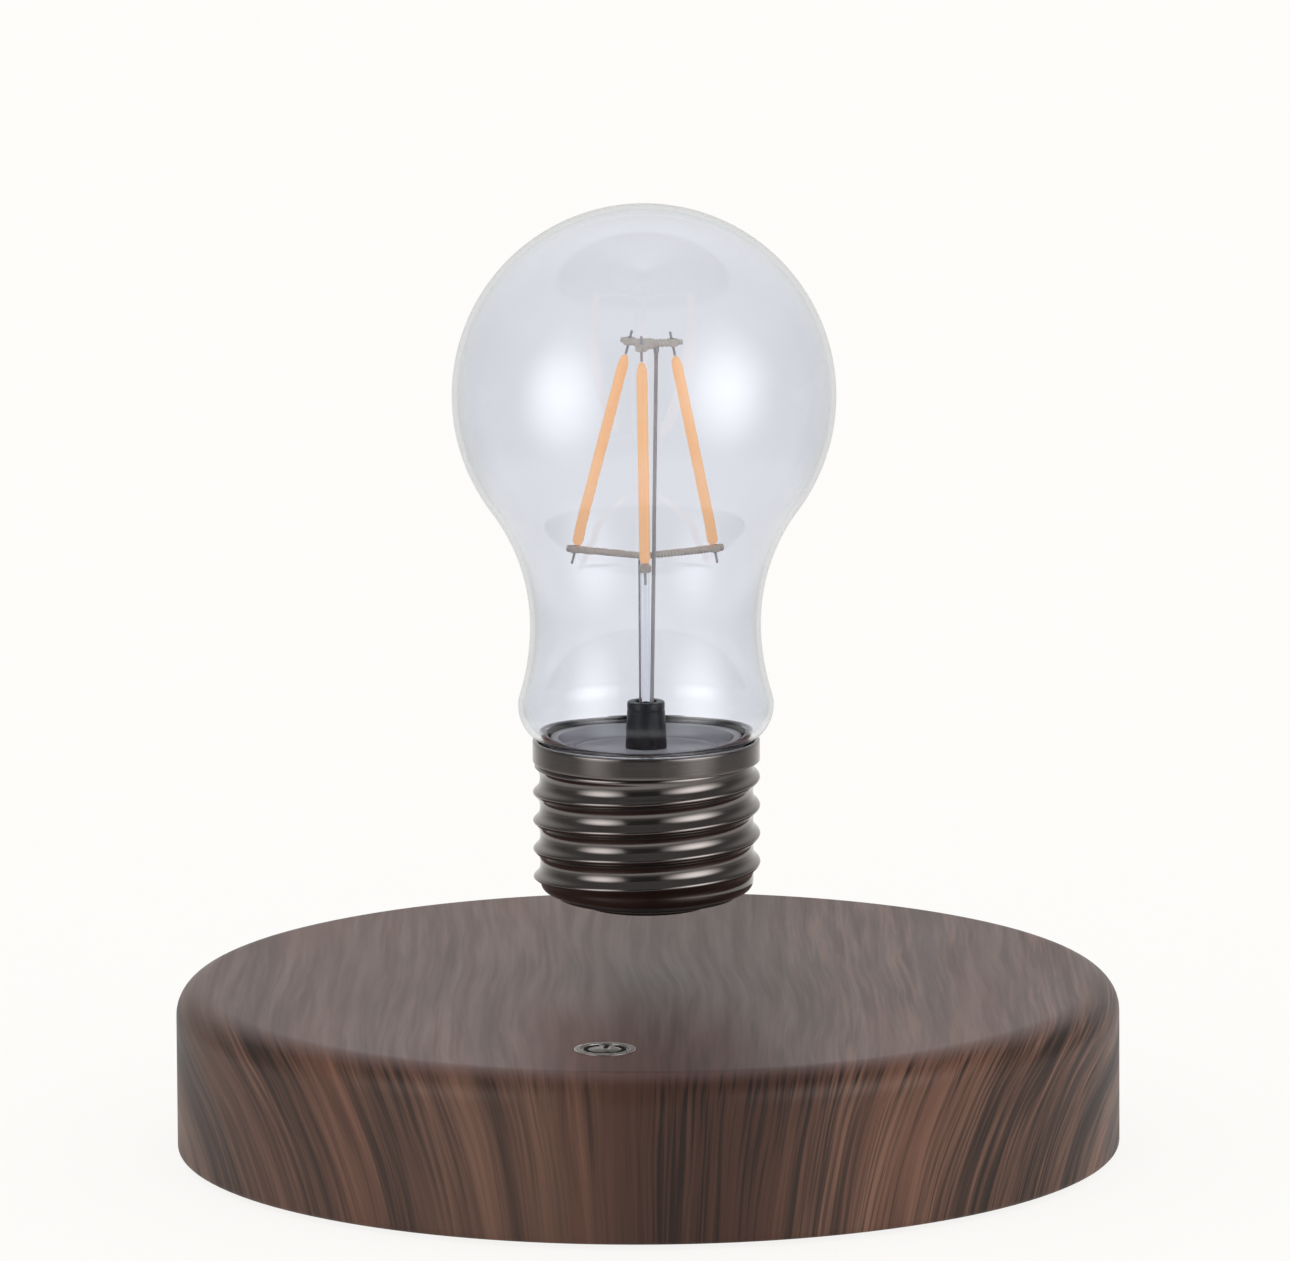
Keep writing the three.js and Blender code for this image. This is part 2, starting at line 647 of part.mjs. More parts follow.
function addMagnets(base) {
  const magnet = ring(RING_INNER_R, RING_R, MAGNET_Z, MAGNET_Z + MAGNET_H, HIDDEN_ROUND);
  const shield = ring(RING_INNER_R, RING_R - SHIELD_INSET, SHIELD_Z, SHIELD_Z + SHIELD_T, HIDDEN_ROUND);
  const transmitR = RING_R - TRANSMIT_INSET;
  const transmitTop = TRANSMIT_Z + TRANSMIT_T;
  const transmit = ring(transmitR - TRANSMIT_W, transmitR, TRANSMIT_Z, transmitTop, HIDDEN_ROUND);
  add(base, "magnet_tray", geometryOf(magnetTray()), WHITE_PLASTIC);
  add(base, "ring_magnet", magnet, FERRITE);
  add(base, "coil_shield", shield, FERRITE);
  add(base, "transmit_coil", transmit, COPPER);
}

function makeBase() {
  const base = new THREE.Group();
  add(base, "base_shell", geometryOf(baseShell()), WALNUT);
  add(base, "bottom_cover", geometryOf(bottomCover()), BLACK_PLASTIC);
  around(CORNER_COUNT, FOOT_ANGLE).forEach((angle, i) => {
    add(base, `foot_${i + 1}`, foot(), RUBBER).position.set(...polar(FOOT_CIRCLE, angle), 0);
  });
  around(CORNER_COUNT, SCREW_ANGLE).forEach((angle, i) => {
    const screw = add(base, `cover_screw_${i + 1}`, geometryOf(coverScrew()), STEEL);
    screw.position.set(...polar(SCREW_CIRCLE, angle), 0);
  });
  addElectronics(base);
  addInlet(base);
  addTouchSwitch(base);
  addMagnets(base);
  addCoils(base);
  addSensors(base);
  return base;
}

// Bulb

// Radius of the threaded wall at a height and an angle: a rounded ridge on the root cylinder that
// climbs one pitch a turn and runs out at both ends.
function threadRadius(z, turn) {
  const fromCrest = (z - THREAD_Z - THREAD_START) / THREAD_PITCH - turn;
  const ridge = (0.5 + 0.5 * Math.cos(2 * Math.PI * fromCrest)) ** THREAD_SHARPNESS;
  const runout = clamp(Math.min(z - THREAD_Z, BAND_Z - z) / THREAD_RUNOUT, 0, 1);
  return ROOT_R + THREAD_DEPTH * ridge * runout;
}

// Closed section of the cap's wall at one angle. Its thread points follow the helix, so the crest is a
// clean line of facets, and those past either end fall together on that end.
function capSection(turn) {
  const first = Math.floor(-THREAD_STEPS * (1 + THREAD_START / THREAD_PITCH));
  const last = Math.ceil(THREAD_STEPS * THREAD_TURNS);
  const thread = [];
  for (let step = first; step <= last; step++) {
    const free = THREAD_Z + THREAD_START + THREAD_PITCH * (turn + step / THREAD_STEPS);
    const z = clamp(free, THREAD_Z, BAND_Z);
    thread.push([threadRadius(z, turn), z]);
  }
  return [
    [CAP_LIP_R, CAP_FOOT_H],
    ...arc([ROOT_R - SHOULDER_R, THREAD_Z], SHOULDER_R, -90, 0, SMALL_EDGE_STEPS),
    ...thread,
    [CAP_R, BAND_Z + BAND_SLOPE],
    ...arc([CAP_R - RIM_EDGE_R, RIM_Z - RIM_EDGE_R], RIM_EDGE_R, 0, 90, SMALL_EDGE_STEPS),
    [RIM_INNER_R, RIM_Z],
    [RIM_INNER_R, GLASS_SEAT_Z],
    [BORE_R, GLASS_SEAT_Z],
    [BORE_R, CAP_FOOT_H + CAP_LIP_T],
    [CAP_LIP_R, CAP_FOOT_H + CAP_LIP_T],
  ];
}

// Hollow screw cap, swept round the axis section by section.
function capShell() {
  const sections = around(CAP_ROUND, 0).map((angle) => [angle, capSection(angle / 360)]);
  sections.push([360, capSection(1)]);
  const count = sections[0][1].length;
  const vertices = sections.flatMap(([angle, section]) =>
    section.flatMap(([r, z]) => [...polar(r, angle % 360), z]),
  );
  const faces = [];
  for (let i = 0; i < CAP_ROUND; i++) {
    for (let j = 0; j < count; j++) {
      const next = (j + 1) % count;
      const [here, there] = [i * count, (i + 1) * count];
      faces.push(here + j, there + j, here + next);
      faces.push(there + j, there + next, here + next);
    }
  }
  const geometry = new THREE.BufferGeometry();
  geometry.setAttribute("position", new THREE.Float32BufferAttribute(vertices, 3));
  geometry.setIndex(faces);
  return solidOf(geometry);
}

// Stepped foot and the cup above it that holds the lifted magnet.
function capBase() {
  const footR = CAP_FOOT_D / 2;
  const stepR = CAP_STEP_D / 2;
  const neckR = CAP_NECK_D / 2;
  const cupR = LIFT_MAGNET_D / 2 + LIFT_CLEARANCE;
  return turned(
    [
      [0, 0],
      [footR - CAP_FOOT_EDGE, 0],
      [footR, CAP_FOOT_EDGE],
      [stepR, CAP_STEP_H],
      [stepR + CAP_STEP_W, CAP_STEP_H],
      [neckR, CAP_FOOT_H - CAP_NECK_EDGE],
      [neckR, CUP_FLANGE_Z],
      [INSERT_R, CUP_FLANGE_Z],
      [INSERT_R, CUP_FLANGE_Z + CUP_FLANGE_T],
      [neckR, CUP_FLANGE_Z + CUP_FLANGE_T],
      [neckR, CUP_TOP],
      [cupR, CUP_TOP],
      [cupR, CUP_FLOOR],
      [0, CUP_FLOOR],
    ],
    CAP_ROUND,
  );
}

// Plate with a raised ring, closed below by a skirt that stands on the rectifier board.
function capDeck() {
  const plateR = INSERT_R - DECK_RING_W;
  return turned(
    [
      [0, DECK_Z - DECK_T],
      [INSERT_R - DECK_SKIRT_W, DECK_Z - DECK_T],
      [INSERT_R - DECK_SKIRT_W, RECTIFIER_TOP + SEAT],
      [INSERT_R, RECTIFIER_TOP + SEAT],
      [INSERT_R, DECK_RING_Z - DECK_SLOPE / 2],
      [INSERT_R - DECK_SLOPE, DECK_RING_Z],
      [plateR, DECK_RING_Z],
      [plateR - DECK_SLOPE, DECK_Z],
      [0, DECK_Z],
    ],
    CAP_ROUND,
  );
}

function addCapInsides(bulb) {
  const receiver = spool(
    RECEIVER_BORE_D / 2,
    RECEIVER_HUB_D / 2,
    INSERT_R,
    RECEIVER_FLANGE_T,
    RECEIVER_Z,
    RECEIVER_Z + RECEIVER_H,
    HIDDEN_ROUND,
  );
  const winding = ring(
    RECEIVER_HUB_D / 2 + FIT,
    INSERT_R - RECEIVER_INSET,
    RECEIVER_Z + RECEIVER_FLANGE_T + SEAT,
    RECEIVER_Z + RECEIVER_H - RECEIVER_FLANGE_T - SEAT,
    HIDDEN_ROUND,
  );
  const smoothing = bar(
    SMOOTHING_D / 2,
    RECTIFIER_TOP + SEAT,
    RECTIFIER_TOP + SEAT + SMOOTHING_H,
    SMALL_ROUND,
  );
  add(bulb, "receiver_bobbin", receiver, WHITE_PLASTIC);
  add(bulb, "receiver_winding", winding, COPPER);
  add(bulb, "rectifier_board", bar(INSERT_R, RECTIFIER_Z, RECTIFIER_TOP, HIDDEN_ROUND), BOARD_GREEN);
  add(bulb, "smoothing_capacitor", smoothing, SLEEVE).position.x = SMOOTHING_SHARE * INSERT_R;
}

// One face of the glass from the cap up to the crown, moved inwards by an offset. Every arc meets the
// next one at a tangent, because the line between their centres passes through the joint.
function glassLine(offset) {
  const [flareX, flareZ] = FLARE_CENTRE;
  const neckLow = [NECK_R + NECK_LOW_ARC_R, NECK_Z];
  const neckHigh = [NECK_R + NECK_ARC_R, NECK_Z];
  const flareArcR = FLARE_ARC_R - offset;
  const edgeR = RIM_INNER_R - GLASS_FIT - offset;
  const flareFoot = -radToDeg(Math.acos((edgeR - flareX) / flareArcR));
  const flareHead = radToDeg(Math.atan2(NECK_Z - flareZ, neckLow[0] - flareX));
  const globeFoot = -radToDeg(Math.atan2(GLOBE_Z - NECK_Z, neckHigh[0]));
  return [
    [edgeR, GLASS_SEAT_Z + SEAT],
    ...arc(FLARE_CENTRE, flareArcR, flareFoot, flareHead, FLARE_STEPS),
    ...arc(neckLow, NECK_LOW_ARC_R + offset, 180 + flareHead, 180, NECK_LOW_STEPS).slice(1),
    ...arc(neckHigh, NECK_ARC_R + offset, 180, 180 + globeFoot, NECK_STEPS).slice(1),
    ...arc([0, GLOBE_Z], GLOBE_R - offset, globeFoot, 90, GLOBE_STEPS).slice(1, -1),
    [0, GLOBE_Z + GLOBE_R - offset],
  ];
}

// Blown envelope, open at the neck.
function glassEnvelope() {
  return turned([...glassLine(0), ...glassLine(GLASS_WALL).reverse()], GLASS_ROUND);
}

// Black taper with a socket for the stem and its wires.
function stemHolder() {
  const taper = turned(
    [
      [0, HOLDER_Z],
      [HOLDER_D / 2, HOLDER_Z],
      [HOLDER_TOP_D / 2, HOLDER_TOP - HOLDER_EDGE],
      [HOLDER_TOP_D / 2 - HOLDER_EDGE, HOLDER_TOP],
      [0, HOLDER_TOP],
    ],
    MID_ROUND,
  );
  const socket = bar(SOCKET_D / 2, HOLDER_TOP - SOCKET_DEPTH, HOLDER_TOP + OVERRUN, SMALL_ROUND);
  return cut(solidOf(taper), [socket]);
}

// Three arms at equal angles, each with an eye for a filament's end wire.
function bracket(armLength, eyeR) {
  const low = -BRACKET_T / 2;
  const arm = block(armLength, ARM_W, BRACKET_T, [armLength / 2, 0], low);
  const eye = bar(EYE_D / 2, low, -low, PIN_ROUND).translate(eyeR, 0, 0);
  const bore = bar(EYE_BORE_D / 2, low - OVERRUN, OVERRUN - low, PIN_ROUND).translate(eyeR, 0, 0);
  const turns = around(FILAMENT_COUNT, 0).map(degToRad);
  const additions = turns.flatMap((turn) => [arm.clone().rotateZ(turn), eye.clone().rotateZ(turn)]);
  const cutters = turns.map((turn) => bore.clone().rotateZ(turn));
  return geometryOf(cut(join(additions[0], additions.slice(1)), cutters));
}

function lowerEye(i) {
  const [x, y] = polar(LOWER_EYE_R, LOWER_ARM_ANGLE + (360 * i) / FILAMENT_COUNT);
  return new THREE.Vector3(x, y, LOWER_BRACKET_Z);
}

function topEye(i) {
  const [x, y] = polar(TOP_EYE_R, TOP_ARM_ANGLE + (360 * i) / FILAMENT_COUNT);
  return new THREE.Vector3(TOP_HUB[0] + x, TOP_HUB[1] + y, TOP_BRACKET_Z);
}

// Turns a piece that was made along Z so that it runs from one point towards another.
function aim(mesh, from, towards) {
  const direction = towards.clone().sub(from).normalize();
  mesh.position.copy(from);
  mesh.quaternion.setFromUnitVectors(new THREE.Vector3(0, 0, 1), direction);
}

// Phosphor stick with rounded ends.
function filament(low, high) {
  const radius = FILAMENT_D / 2;
  const inner = radius - FILAMENT_END_R;
  return turned(
    [
      [0, low],
      ...arc([inner, low + FILAMENT_END_R], FILAMENT_END_R, -90, 0, SMALL_EDGE_STEPS),
      ...arc([inner, high - FILAMENT_END_R], FILAMENT_END_R, 0, 90, SMALL_EDGE_STEPS),
      [0, high],
    ],
    PIN_ROUND,
  );
}

// A filament and its two end wires lie on one line through a lower eye and a top eye.
function addFilaments(bulb) {
  for (let i = 0; i < FILAMENT_COUNT; i++) {
    const span = lowerEye(i).distanceTo(topEye(i));
    const top = span - FILAMENT_TOP_GAP;
    const stick = filament(FILAMENT_FOOT_GAP, top);
    const footLead = bar(LEAD_D / 2, -FOOT_LEAD_DROP, FILAMENT_FOOT_GAP - SEAT, WIRE_ROUND);
    const topLead = bar(LEAD_D / 2, top + SEAT, span + TOP_LEAD_RISE, WIRE_ROUND);
    const pieces = [
      add(bulb, `filament_${i + 1}`, stick, PHOSPHOR),
      add(bulb, `foot_lead_${i + 1}`, footLead, WIRE),
      add(bulb, `top_lead_${i + 1}`, topLead, WIRE),
    ];
    for (const piece of pieces) aim(piece, lowerEye(i), topEye(i));
  }
}

// The wire that carries the top bracket: it leans from the holder's socket to one of the bracket's arms.
function addMast(bulb) {
  const [x, y] = polar(MAST_REACH, TOP_ARM_ANGLE);
  const holderPoint = new THREE.Vector3(...MAST_FOOT, HOLDER_TOP);
  const head = new THREE.Vector3(TOP_HUB[0] + x, TOP_HUB[1] + y, TOP_BRACKET_Z - BRACKET_T / 2 - SEAT);
  const below = SOCKET_DEPTH - FIT;
  const mast = bar(MAST_D / 2, -below, holderPoint.distanceTo(head), PIN_ROUND);
  aim(add(bulb, "mast_wire", mast, WIRE), holderPoint, head);
}

function addCage(bulb) {
  add(bulb, "stem_holder", geometryOf(stemHolder()), BLACK_PLASTIC);
  add(bulb, "stem_rod", bar(STEM_D / 2, STEM_Z, STEM_TOP, PIN_ROUND), GLASS);
  const lead = bar(LEAD_WIRE_D / 2, STEM_Z, STEM_TOP, WIRE_ROUND);
  const leadAngle = LOWER_ARM_ANGLE + 360 / FILAMENT_COUNT;
  add(bulb, "lead_wire", lead, WIRE).position.set(...polar(LEAD_WIRE_OFFSET, leadAngle), 0);
  addMast(bulb);
  const lower = add(bulb, "lower_bracket", bracket(LOWER_ARM_LENGTH, LOWER_EYE_R), WIRE);
  lower.position.z = LOWER_BRACKET_Z;
  lower.rotation.z = degToRad(LOWER_ARM_ANGLE);
  const top = add(bulb, "top_bracket", bracket(TOP_ARM_LENGTH, TOP_EYE_R), WIRE);
  top.position.set(...TOP_HUB, TOP_BRACKET_Z);
  top.rotation.z = degToRad(TOP_ARM_ANGLE);
  addFilaments(bulb);
}

function makeBulb() {
  const bulb = new THREE.Group();
  const magnetTop = LIFT_MAGNET_Z + LIFT_MAGNET_H;
  add(bulb, "lift_magnet", bar(LIFT_MAGNET_D / 2, LIFT_MAGNET_Z, magnetTop, HIDDEN_ROUND), NICKEL);
  add(bulb, "cap_base", capBase(), BLACK_PLASTIC);
  add(bulb, "cap_shell", geometryOf(capShell()), BLACK_NICKEL);
  add(bulb, "cap_deck", capDeck(), BLACK_PLASTIC);
  addCapInsides(bulb);
  add(bulb, "glass_envelope", glassEnvelope(), GLASS);
  addCage(bulb);
  bulb.position.z = BULB_Z;
  bulb.rotation.z = degToRad(BULB_TURN);
  return bulb;
}

const lamp = new THREE.Group();
lamp.add(makeBase(), makeBulb());

export default lamp;
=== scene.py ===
import json
import math

import bmesh
import bpy
from mathutils import Matrix, Vector, noise


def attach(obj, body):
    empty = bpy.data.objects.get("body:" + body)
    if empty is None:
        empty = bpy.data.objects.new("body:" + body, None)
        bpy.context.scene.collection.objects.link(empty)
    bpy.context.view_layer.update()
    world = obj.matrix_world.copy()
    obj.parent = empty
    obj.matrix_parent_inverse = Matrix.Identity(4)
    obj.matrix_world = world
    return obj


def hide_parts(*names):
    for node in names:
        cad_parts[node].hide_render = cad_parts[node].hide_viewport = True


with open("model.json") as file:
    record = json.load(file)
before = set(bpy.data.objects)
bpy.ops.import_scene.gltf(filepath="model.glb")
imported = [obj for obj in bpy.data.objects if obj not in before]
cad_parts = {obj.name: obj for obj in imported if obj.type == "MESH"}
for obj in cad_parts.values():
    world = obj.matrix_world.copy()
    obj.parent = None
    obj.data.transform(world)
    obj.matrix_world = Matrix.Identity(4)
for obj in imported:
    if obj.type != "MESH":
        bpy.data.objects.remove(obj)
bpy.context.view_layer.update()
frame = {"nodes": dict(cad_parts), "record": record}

MM = 0.001
FULL_TURN = 2 * math.pi
ROUND = 144
FINE_ROUND = 96
SMALL_ROUND = 48
HUB_ROUND = 32
BAR_ROUND = 24
WIRE_ROUND = 16
MERGE = 1e-7  # metres
LEAST_EDGE_R = 0.02

# Camera, from a pinhole fit to the base's outline
VIEW_AZIMUTH = 7.2
VIEW_ELEVATION = 10.58
VIEW_HEIGHT = 0.075  # of the point that the camera looks at, in metres as the distance is
VIEW_DISTANCE = 2.5
VIEW_LENS = 446.1
VIEW_SENSOR = 36
PHOTO_SIZE = (1290, 1261)
VIEW_CENTRE = (645.5, 679.1)  # where the photo shows that point
VIEW_ROLL = 0.35

# Base
BASE_R = 74
INNER_R = 71
FOOT_PROUD = 0.8  # how far the rubber feet stand out below the shell
BASE_TOP = 27.0
CEILING = 24.4
COVER_TOP = 3.3
COVER_LEDGE = 1.4
TOP_EDGE_R = 4.8
BOTTOM_EDGE_R = 0.8
CEILING_EDGE_R = 2.2
EDGE_SUPPORT = 0.5  # a ring of faces beside a rounded edge keeps the flat beside it flat
SCREW_CIRCLE = 68.4
BOSS_R = 3.2
SCREW_HOLE_R = 1.5
SCREW_HOLE_TOP = 11.5
BOSS_IN_CEILING = 1.3
INLET_HOLE_R = 4.5
INLET_Z = 13.5
INLET_CUT = 12
OVERRUN = 2  # how far a cutter passes the face that it opens

# Walnut film
GRAIN_TURN = 7.2
HEART_ACROSS = 9  # where the darkest band of the grain runs, to the right of the middle
FILM_TAKE_UP = 0.95  # how much film each millimetre of the side draws down, just below the top
FILM_EASE = 10  # how much less it is for each metre further down

# Coils
WIRE_PITCH = 0.3

# Touch switch
SWITCH_Y = -53
SWITCH_SEAT_Z = 25.8
SWITCH_HOLE_R = 4.87
SWITCH_BORE_R = 3.2
RING_R = 4.8
RING_INNER_R = 3.75
RING_LIP_R = 3.0
RING_FOOT_Z = 25.9
RING_LIP_Z = 26.4
RING_TOP = 27.15
RING_EDGE_R = (0.22, 0.15)  # outside and inside
PLATE_R = 3.7
PLATE_Z = 26.5
PLATE_EDGE_R = 0.12
SIGN_R = 2.95
SIGN_STROKE = 0.72
SIGN_GAP = 52  # degrees left open at the back
SIGN_BAR = (0.75, 3.2)
SIGN_Z = (26.96, 27.03)

# Bulb: heights are above the face of the cap's foot
BULB_Z = 39.1
BULB_TURN = 7.2
CAP_R = 17.8
ROOT_R = 16.7
BORE_R = 15.6
CAP_LIP_R = 14.5
CAP_FOOT_H = 2.2
CAP_LIP_T = 0.9
SHOULDER_R = 1.75
THREAD_Z = 3.95
THREAD_START = 2.9
THREAD_PITCH = 4.5
THREAD_DEPTH = 1.1
THREAD_SHARPNESS = 3.2  # narrows the crests and leaves wide hollows between them
THREAD_SOFT_SHARE = 0.3  # the share of the depth that stays a plain wave
THREAD_RUNOUT = 0.7
THREAD_ROW = 0.15
BAND_Z = 22.85
BAND_SLOPE = 0.35
BAND_EDGE_R = 0.15
BAND_SUPPORT = (0.4, 0.3)  # rings of faces this far from its two edges keep the band flat
RIM_Z = 26.5
RIM_INNER_R = 17.0
RIM_EDGE_R = 0.35
RIM_INNER_EDGE_R = 0.2
GLASS_SEAT_Z = 24.4
INSERT_R = 15.4
RECTIFIER_TOP = 17.9
DECK_Z = 23.6
DECK_RING_Z = 26.1
DECK_T = 1.4
DECK_SKIRT_W = 1.4
DECK_RING_W = 1.5
DECK_RING_EDGE_R = (0.35, 0.25)  # outside and inside
DECK_DISH_EDGE_R = 0.35
DECK_DISH_INSET = 0.75  # from the ring to the middle of that rounding
DECK_BEAD = [(2.2, 0), (2.5, 0.22), (3.0, 0.22), (3.3, 0)]  # distance inside the ring, and height

# Foot of the cap
FOOT_FACE_R = 8.9
FOOT_EDGE = (9.3, 0.5)  # where the face's rounded edge begins, and its rounding
STEP_R = (12.0, 12.2)
STEP_Z = 0.95
SLOPE_FOOT = (13.0, 1.15)
FOOT_NECK_R = 14.2
FOOT_NECK_Z = 1.75
FOOT_NECK_EDGE_R = 0.35
FLANGE_R = 15.4
FLANGE_Z = (3.2, 4.2)
FOOT_TOP = 8.3
FOOT_BORE_R = 12.7
FOOT_FLOOR = 1.8

# Glass
GLOBE_R = 30
NECK_ARC_R = 31
NECK_LOW_ARC_R = 37
NECK_R = 18.05
FLARE_R = 20
FLARE_ARC_R = 6
GLASS_WALL = 0.9
GLASS_FIT = 0.3
SEAT = 0.1

# Stem and cage
HOLDER_Z = 23.7
HOLDER_TOP = 32.4
HOLDER_R = 3.3
HOLDER_FOOT_H = 0.6
HOLDER_FOOT_TAPER = 0.02
HOLDER_TOP_R = 2.95
HOLDER_EDGE_R = 0.3
HOLDER_GROOVE = [(0.02, 1.45), (-0.06, 1.35), (-0.06, 1.15), (0.02, 1.05)]  # added radius, depth
SOCKET_R = 1.7
SOCKET_EDGE = 0.15
SOCKET_Z = 29.4
STEM_R = 0.65
STEM_Z = 29.5
STEM_TOP = 55.25
STEM_EDGE_R = 0.35
STEM_FOOT_EDGE = (0.05, 0.1)
STEM_EDGE_SUPPORT = 0.5
LEAD_WIRE_R = 0.17
LEAD_WIRE_EDGE_R = 0.1
LEAD_WIRE_OFFSET = 1.05
MAST_R = 0.3
MAST_IN_HOLDER = 2.8
MAST_SOLDER = [(0, 1.2), (0.12, 0.7), (0.16, 0.3), (0.1, 0)]  # added radius, distance from the end
MAST_FOOT = (0.95, -0.6)
MAST_REACH = 1.4
LOWER_BRACKET_Z = 55.95
TOP_BRACKET_Z = 89.15
BRACKET_T = 1.2
LOWER_EYE_R = 12.6
LOWER_ARM_LENGTH = 14.1
LOWER_ARM_ANGLE = 30
TOP_EYE_R = 4
TOP_ARM_LENGTH = 5.7
TOP_ARM_ANGLE = 16
TOP_HUB = (0.6, -0.6)
HUB_PROUD = 0.05  # how far the hub stands past the arms' roots
HUB_EDGE_R = 0.3
ARM_SHORT = 0.1  # how much shorter the arms are than the CAD's
EYE_BOSS_R = 0.95
EYE_EDGE_R = 0.25
EYE_HOLE_R = 0.42
RIB_PITCH = 0.6
RIB_ROWS = 6
RIB_DEPTH = 0.1  # of the arm's radius
RIB_END = 0.5  # what stays smooth at each end
FILAMENT_COUNT = 3
FILAMENT_R = 0.85
FILAMENT_ROWS = 70
FILAMENT_FOOT_GAP = 0.8
FILAMENT_TOP_GAP = 2.3
FILAMENT_FOOT = [(0, 0), (0.4, 0.02), (0.62, 0.16), (0.77, 0.42)]  # radius, distance from the end
FILAMENT_HEAD = [(0.82, 1.6), (0.74, 1.1), (0.62, 0.6), (0.46, 0.22), (0.24, 0.04), (0, 0)]
FILAMENT_WALL = (0.8, 2.0)  # where the even part starts and ends, from the two ends
LEAD_R = 0.2
LEAD_EDGE_R = 0.12
FOOT_LEAD_DROP = 2.6
TOP_LEAD_RISE = 1.8


def side(hypotenuse, short):
    """The other short side of a right triangle."""
    return math.sqrt(hypotenuse * hypotenuse - short * short)


def polar(radius, degrees):
    """A point at a distance and an angle from the axis."""
    angle = math.radians(degrees)
    return radius * math.cos(angle), radius * math.sin(angle)


def arc(centre, radius, first, last, steps):
    """Profile points on an arc, with angles in degrees from the outward direction."""
    angles = [first + (last - first) * i / steps for i in range(steps + 1)]
    return [(centre[0] + polar(radius, a)[0], centre[1] + polar(radius, a)[1]) for a in angles]


FLARE_CENTRE = (FLARE_R - FLARE_ARC_R, RIM_Z + SEAT + side(FLARE_ARC_R, RIM_INNER_R - FLARE_R + FLARE_ARC_R))
NECK_Z = FLARE_CENTRE[1] + side(NECK_LOW_ARC_R + FLARE_ARC_R, NECK_R + NECK_LOW_ARC_R - FLARE_CENTRE[0])
GLOBE_Z = NECK_Z + side(GLOBE_R + NECK_ARC_R, NECK_R + NECK_ARC_R)
BULB_PLACE = Matrix.Translation((0, 0, BULB_Z * MM)) @ Matrix.Rotation(math.radians(BULB_TURN), 4, "Z")


# Finishes


class Level:
    """A number in a finish. Python's operators on it add Math nodes."""

    def __init__(self, finish, socket):
        self.finish = finish
        self.socket = socket

    def worked(self, operation, *values):
        sockets = dict(enumerate(values))
        return self.finish.node("ShaderNodeMath", {"operation": operation}, sockets)

    def __add__(self, other):
        return self.worked("ADD", self, other)

    __radd__ = __add__

    def __sub__(self, other):
        return self.worked("SUBTRACT", self, other)

    def __rsub__(self, other):
        return self.worked("SUBTRACT", other, self)

    def __mul__(self, other):
        return self.worked("MULTIPLY", self, other)

    def __truediv__(self, other):
        return self.worked("DIVIDE", self, other)

    def __pow__(self, other):
        return self.worked("POWER", self, other)

    def least(self, other):
        return self.worked("MINIMUM", self, other)

    def most(self, other):
        return self.worked("MAXIMUM", self, other)

    def size(self):
        return self.worked("ABSOLUTE", self)


class Finish:
    """A node tree that is written as Python expressions."""

    def __init__(self, tree):
        self.tree = tree
        self.tree.nodes.clear()

    def node(self, kind, settings=None, sockets=None, output=0):
        """Adds a node with its settings and its sockets' values or links, and returns one output."""
        made = self.tree.nodes.new(kind)
        for key, value in (settings or {}).items():
            if key == "stops":
                self.set_stops(made.color_ramp.elements, value)
            else:
                setattr(made, key, value)
        for key, value in (sockets or {}).items():
            if isinstance(value, Level):
                self.tree.links.new(value.socket, made.inputs[key])
            else:
                made.inputs[key].default_value = value
        return Level(self, made.outputs[output]) if made.outputs else None

    def set_stops(self, elements, stops):
        while len(elements) < len(stops):
            elements.new(1)
        for element, (position, tone) in zip(elements, stops):
            element.position = position
            element.color = (*tone[:3], 1)

    def coordinates(self, output="Object"):
        return self.node("ShaderNodeTexCoord", output=output)

    def parts(self, vector):
        """The three numbers of a vector."""
        whole = self.node("ShaderNodeSeparateXYZ", sockets={0: vector})
        return [Level(self, socket) for socket in whole.socket.node.outputs]

    def bearing(self, up, across):
        """The angle in degrees of a point that lies this far up and across."""
        return self.node("ShaderNodeMath", {"operation": "ARCTAN2"}, {0: up, 1: across}) * math.degrees(1)

    def vector(self, x, y, z):
        return self.node("ShaderNodeCombineXYZ", sockets={0: x, 1: y, 2: z})

    def scaled(self, vector, scale):
        return self.node("ShaderNodeMapping", sockets={"Vector": vector, "Scale": scale})

    def noise(self, vector, scale, detail=2, roughness=0.5):
        sockets = {"Vector": vector, "Scale": scale, "Detail": detail, "Roughness": roughness}
        return self.node("ShaderNodeTexNoise", sockets=sockets)

    def eased(self, value, low, high, at_low=0, at_high=1):
        """A smooth change between two limits."""
        settings = {"interpolation_type": "SMOOTHSTEP"}
        return self.node("ShaderNodeMapRange", settings, {0: value, 1: low, 2: high, 3: at_low, 4: at_high})

    def spread(self, texture, low, high):
        """A noise, which mostly lies between 0.3 and 0.7, brought between two other limits."""
        return self.eased(texture, 0.3, 0.7, low, high)

    def ramp(self, value, stops):
        return self.node("ShaderNodeValToRGB", {"stops": stops}, {0: value})

    def mixed(self, factor, first, second):
        """Two colours mixed by a factor."""
        sockets = {0: factor, 6: first, 7: second}
        return self.node("ShaderNodeMix", {"data_type": "RGBA"}, sockets, output=2)

    def bump(self, height, depth, strength=1):
        sockets = {"Height": height, "Distance": depth, "Strength": strength}
        return self.node("ShaderNodeBump", sockets=sockets)

    def surface(self, **sockets):
        """The shader, with socket names written with underscores."""
        named = {key.replace("_", " "): value for key, value in sockets.items()}
        shader = self.node("ShaderNodeBsdfPrincipled", sockets=named)
        self.node("ShaderNodeOutputMaterial", sockets={"Surface": shader})


def new_finish(name):
    material = bpy.data.materials.new(name)
    material.use_nodes = True
    return material, Finish(material.node_tree)


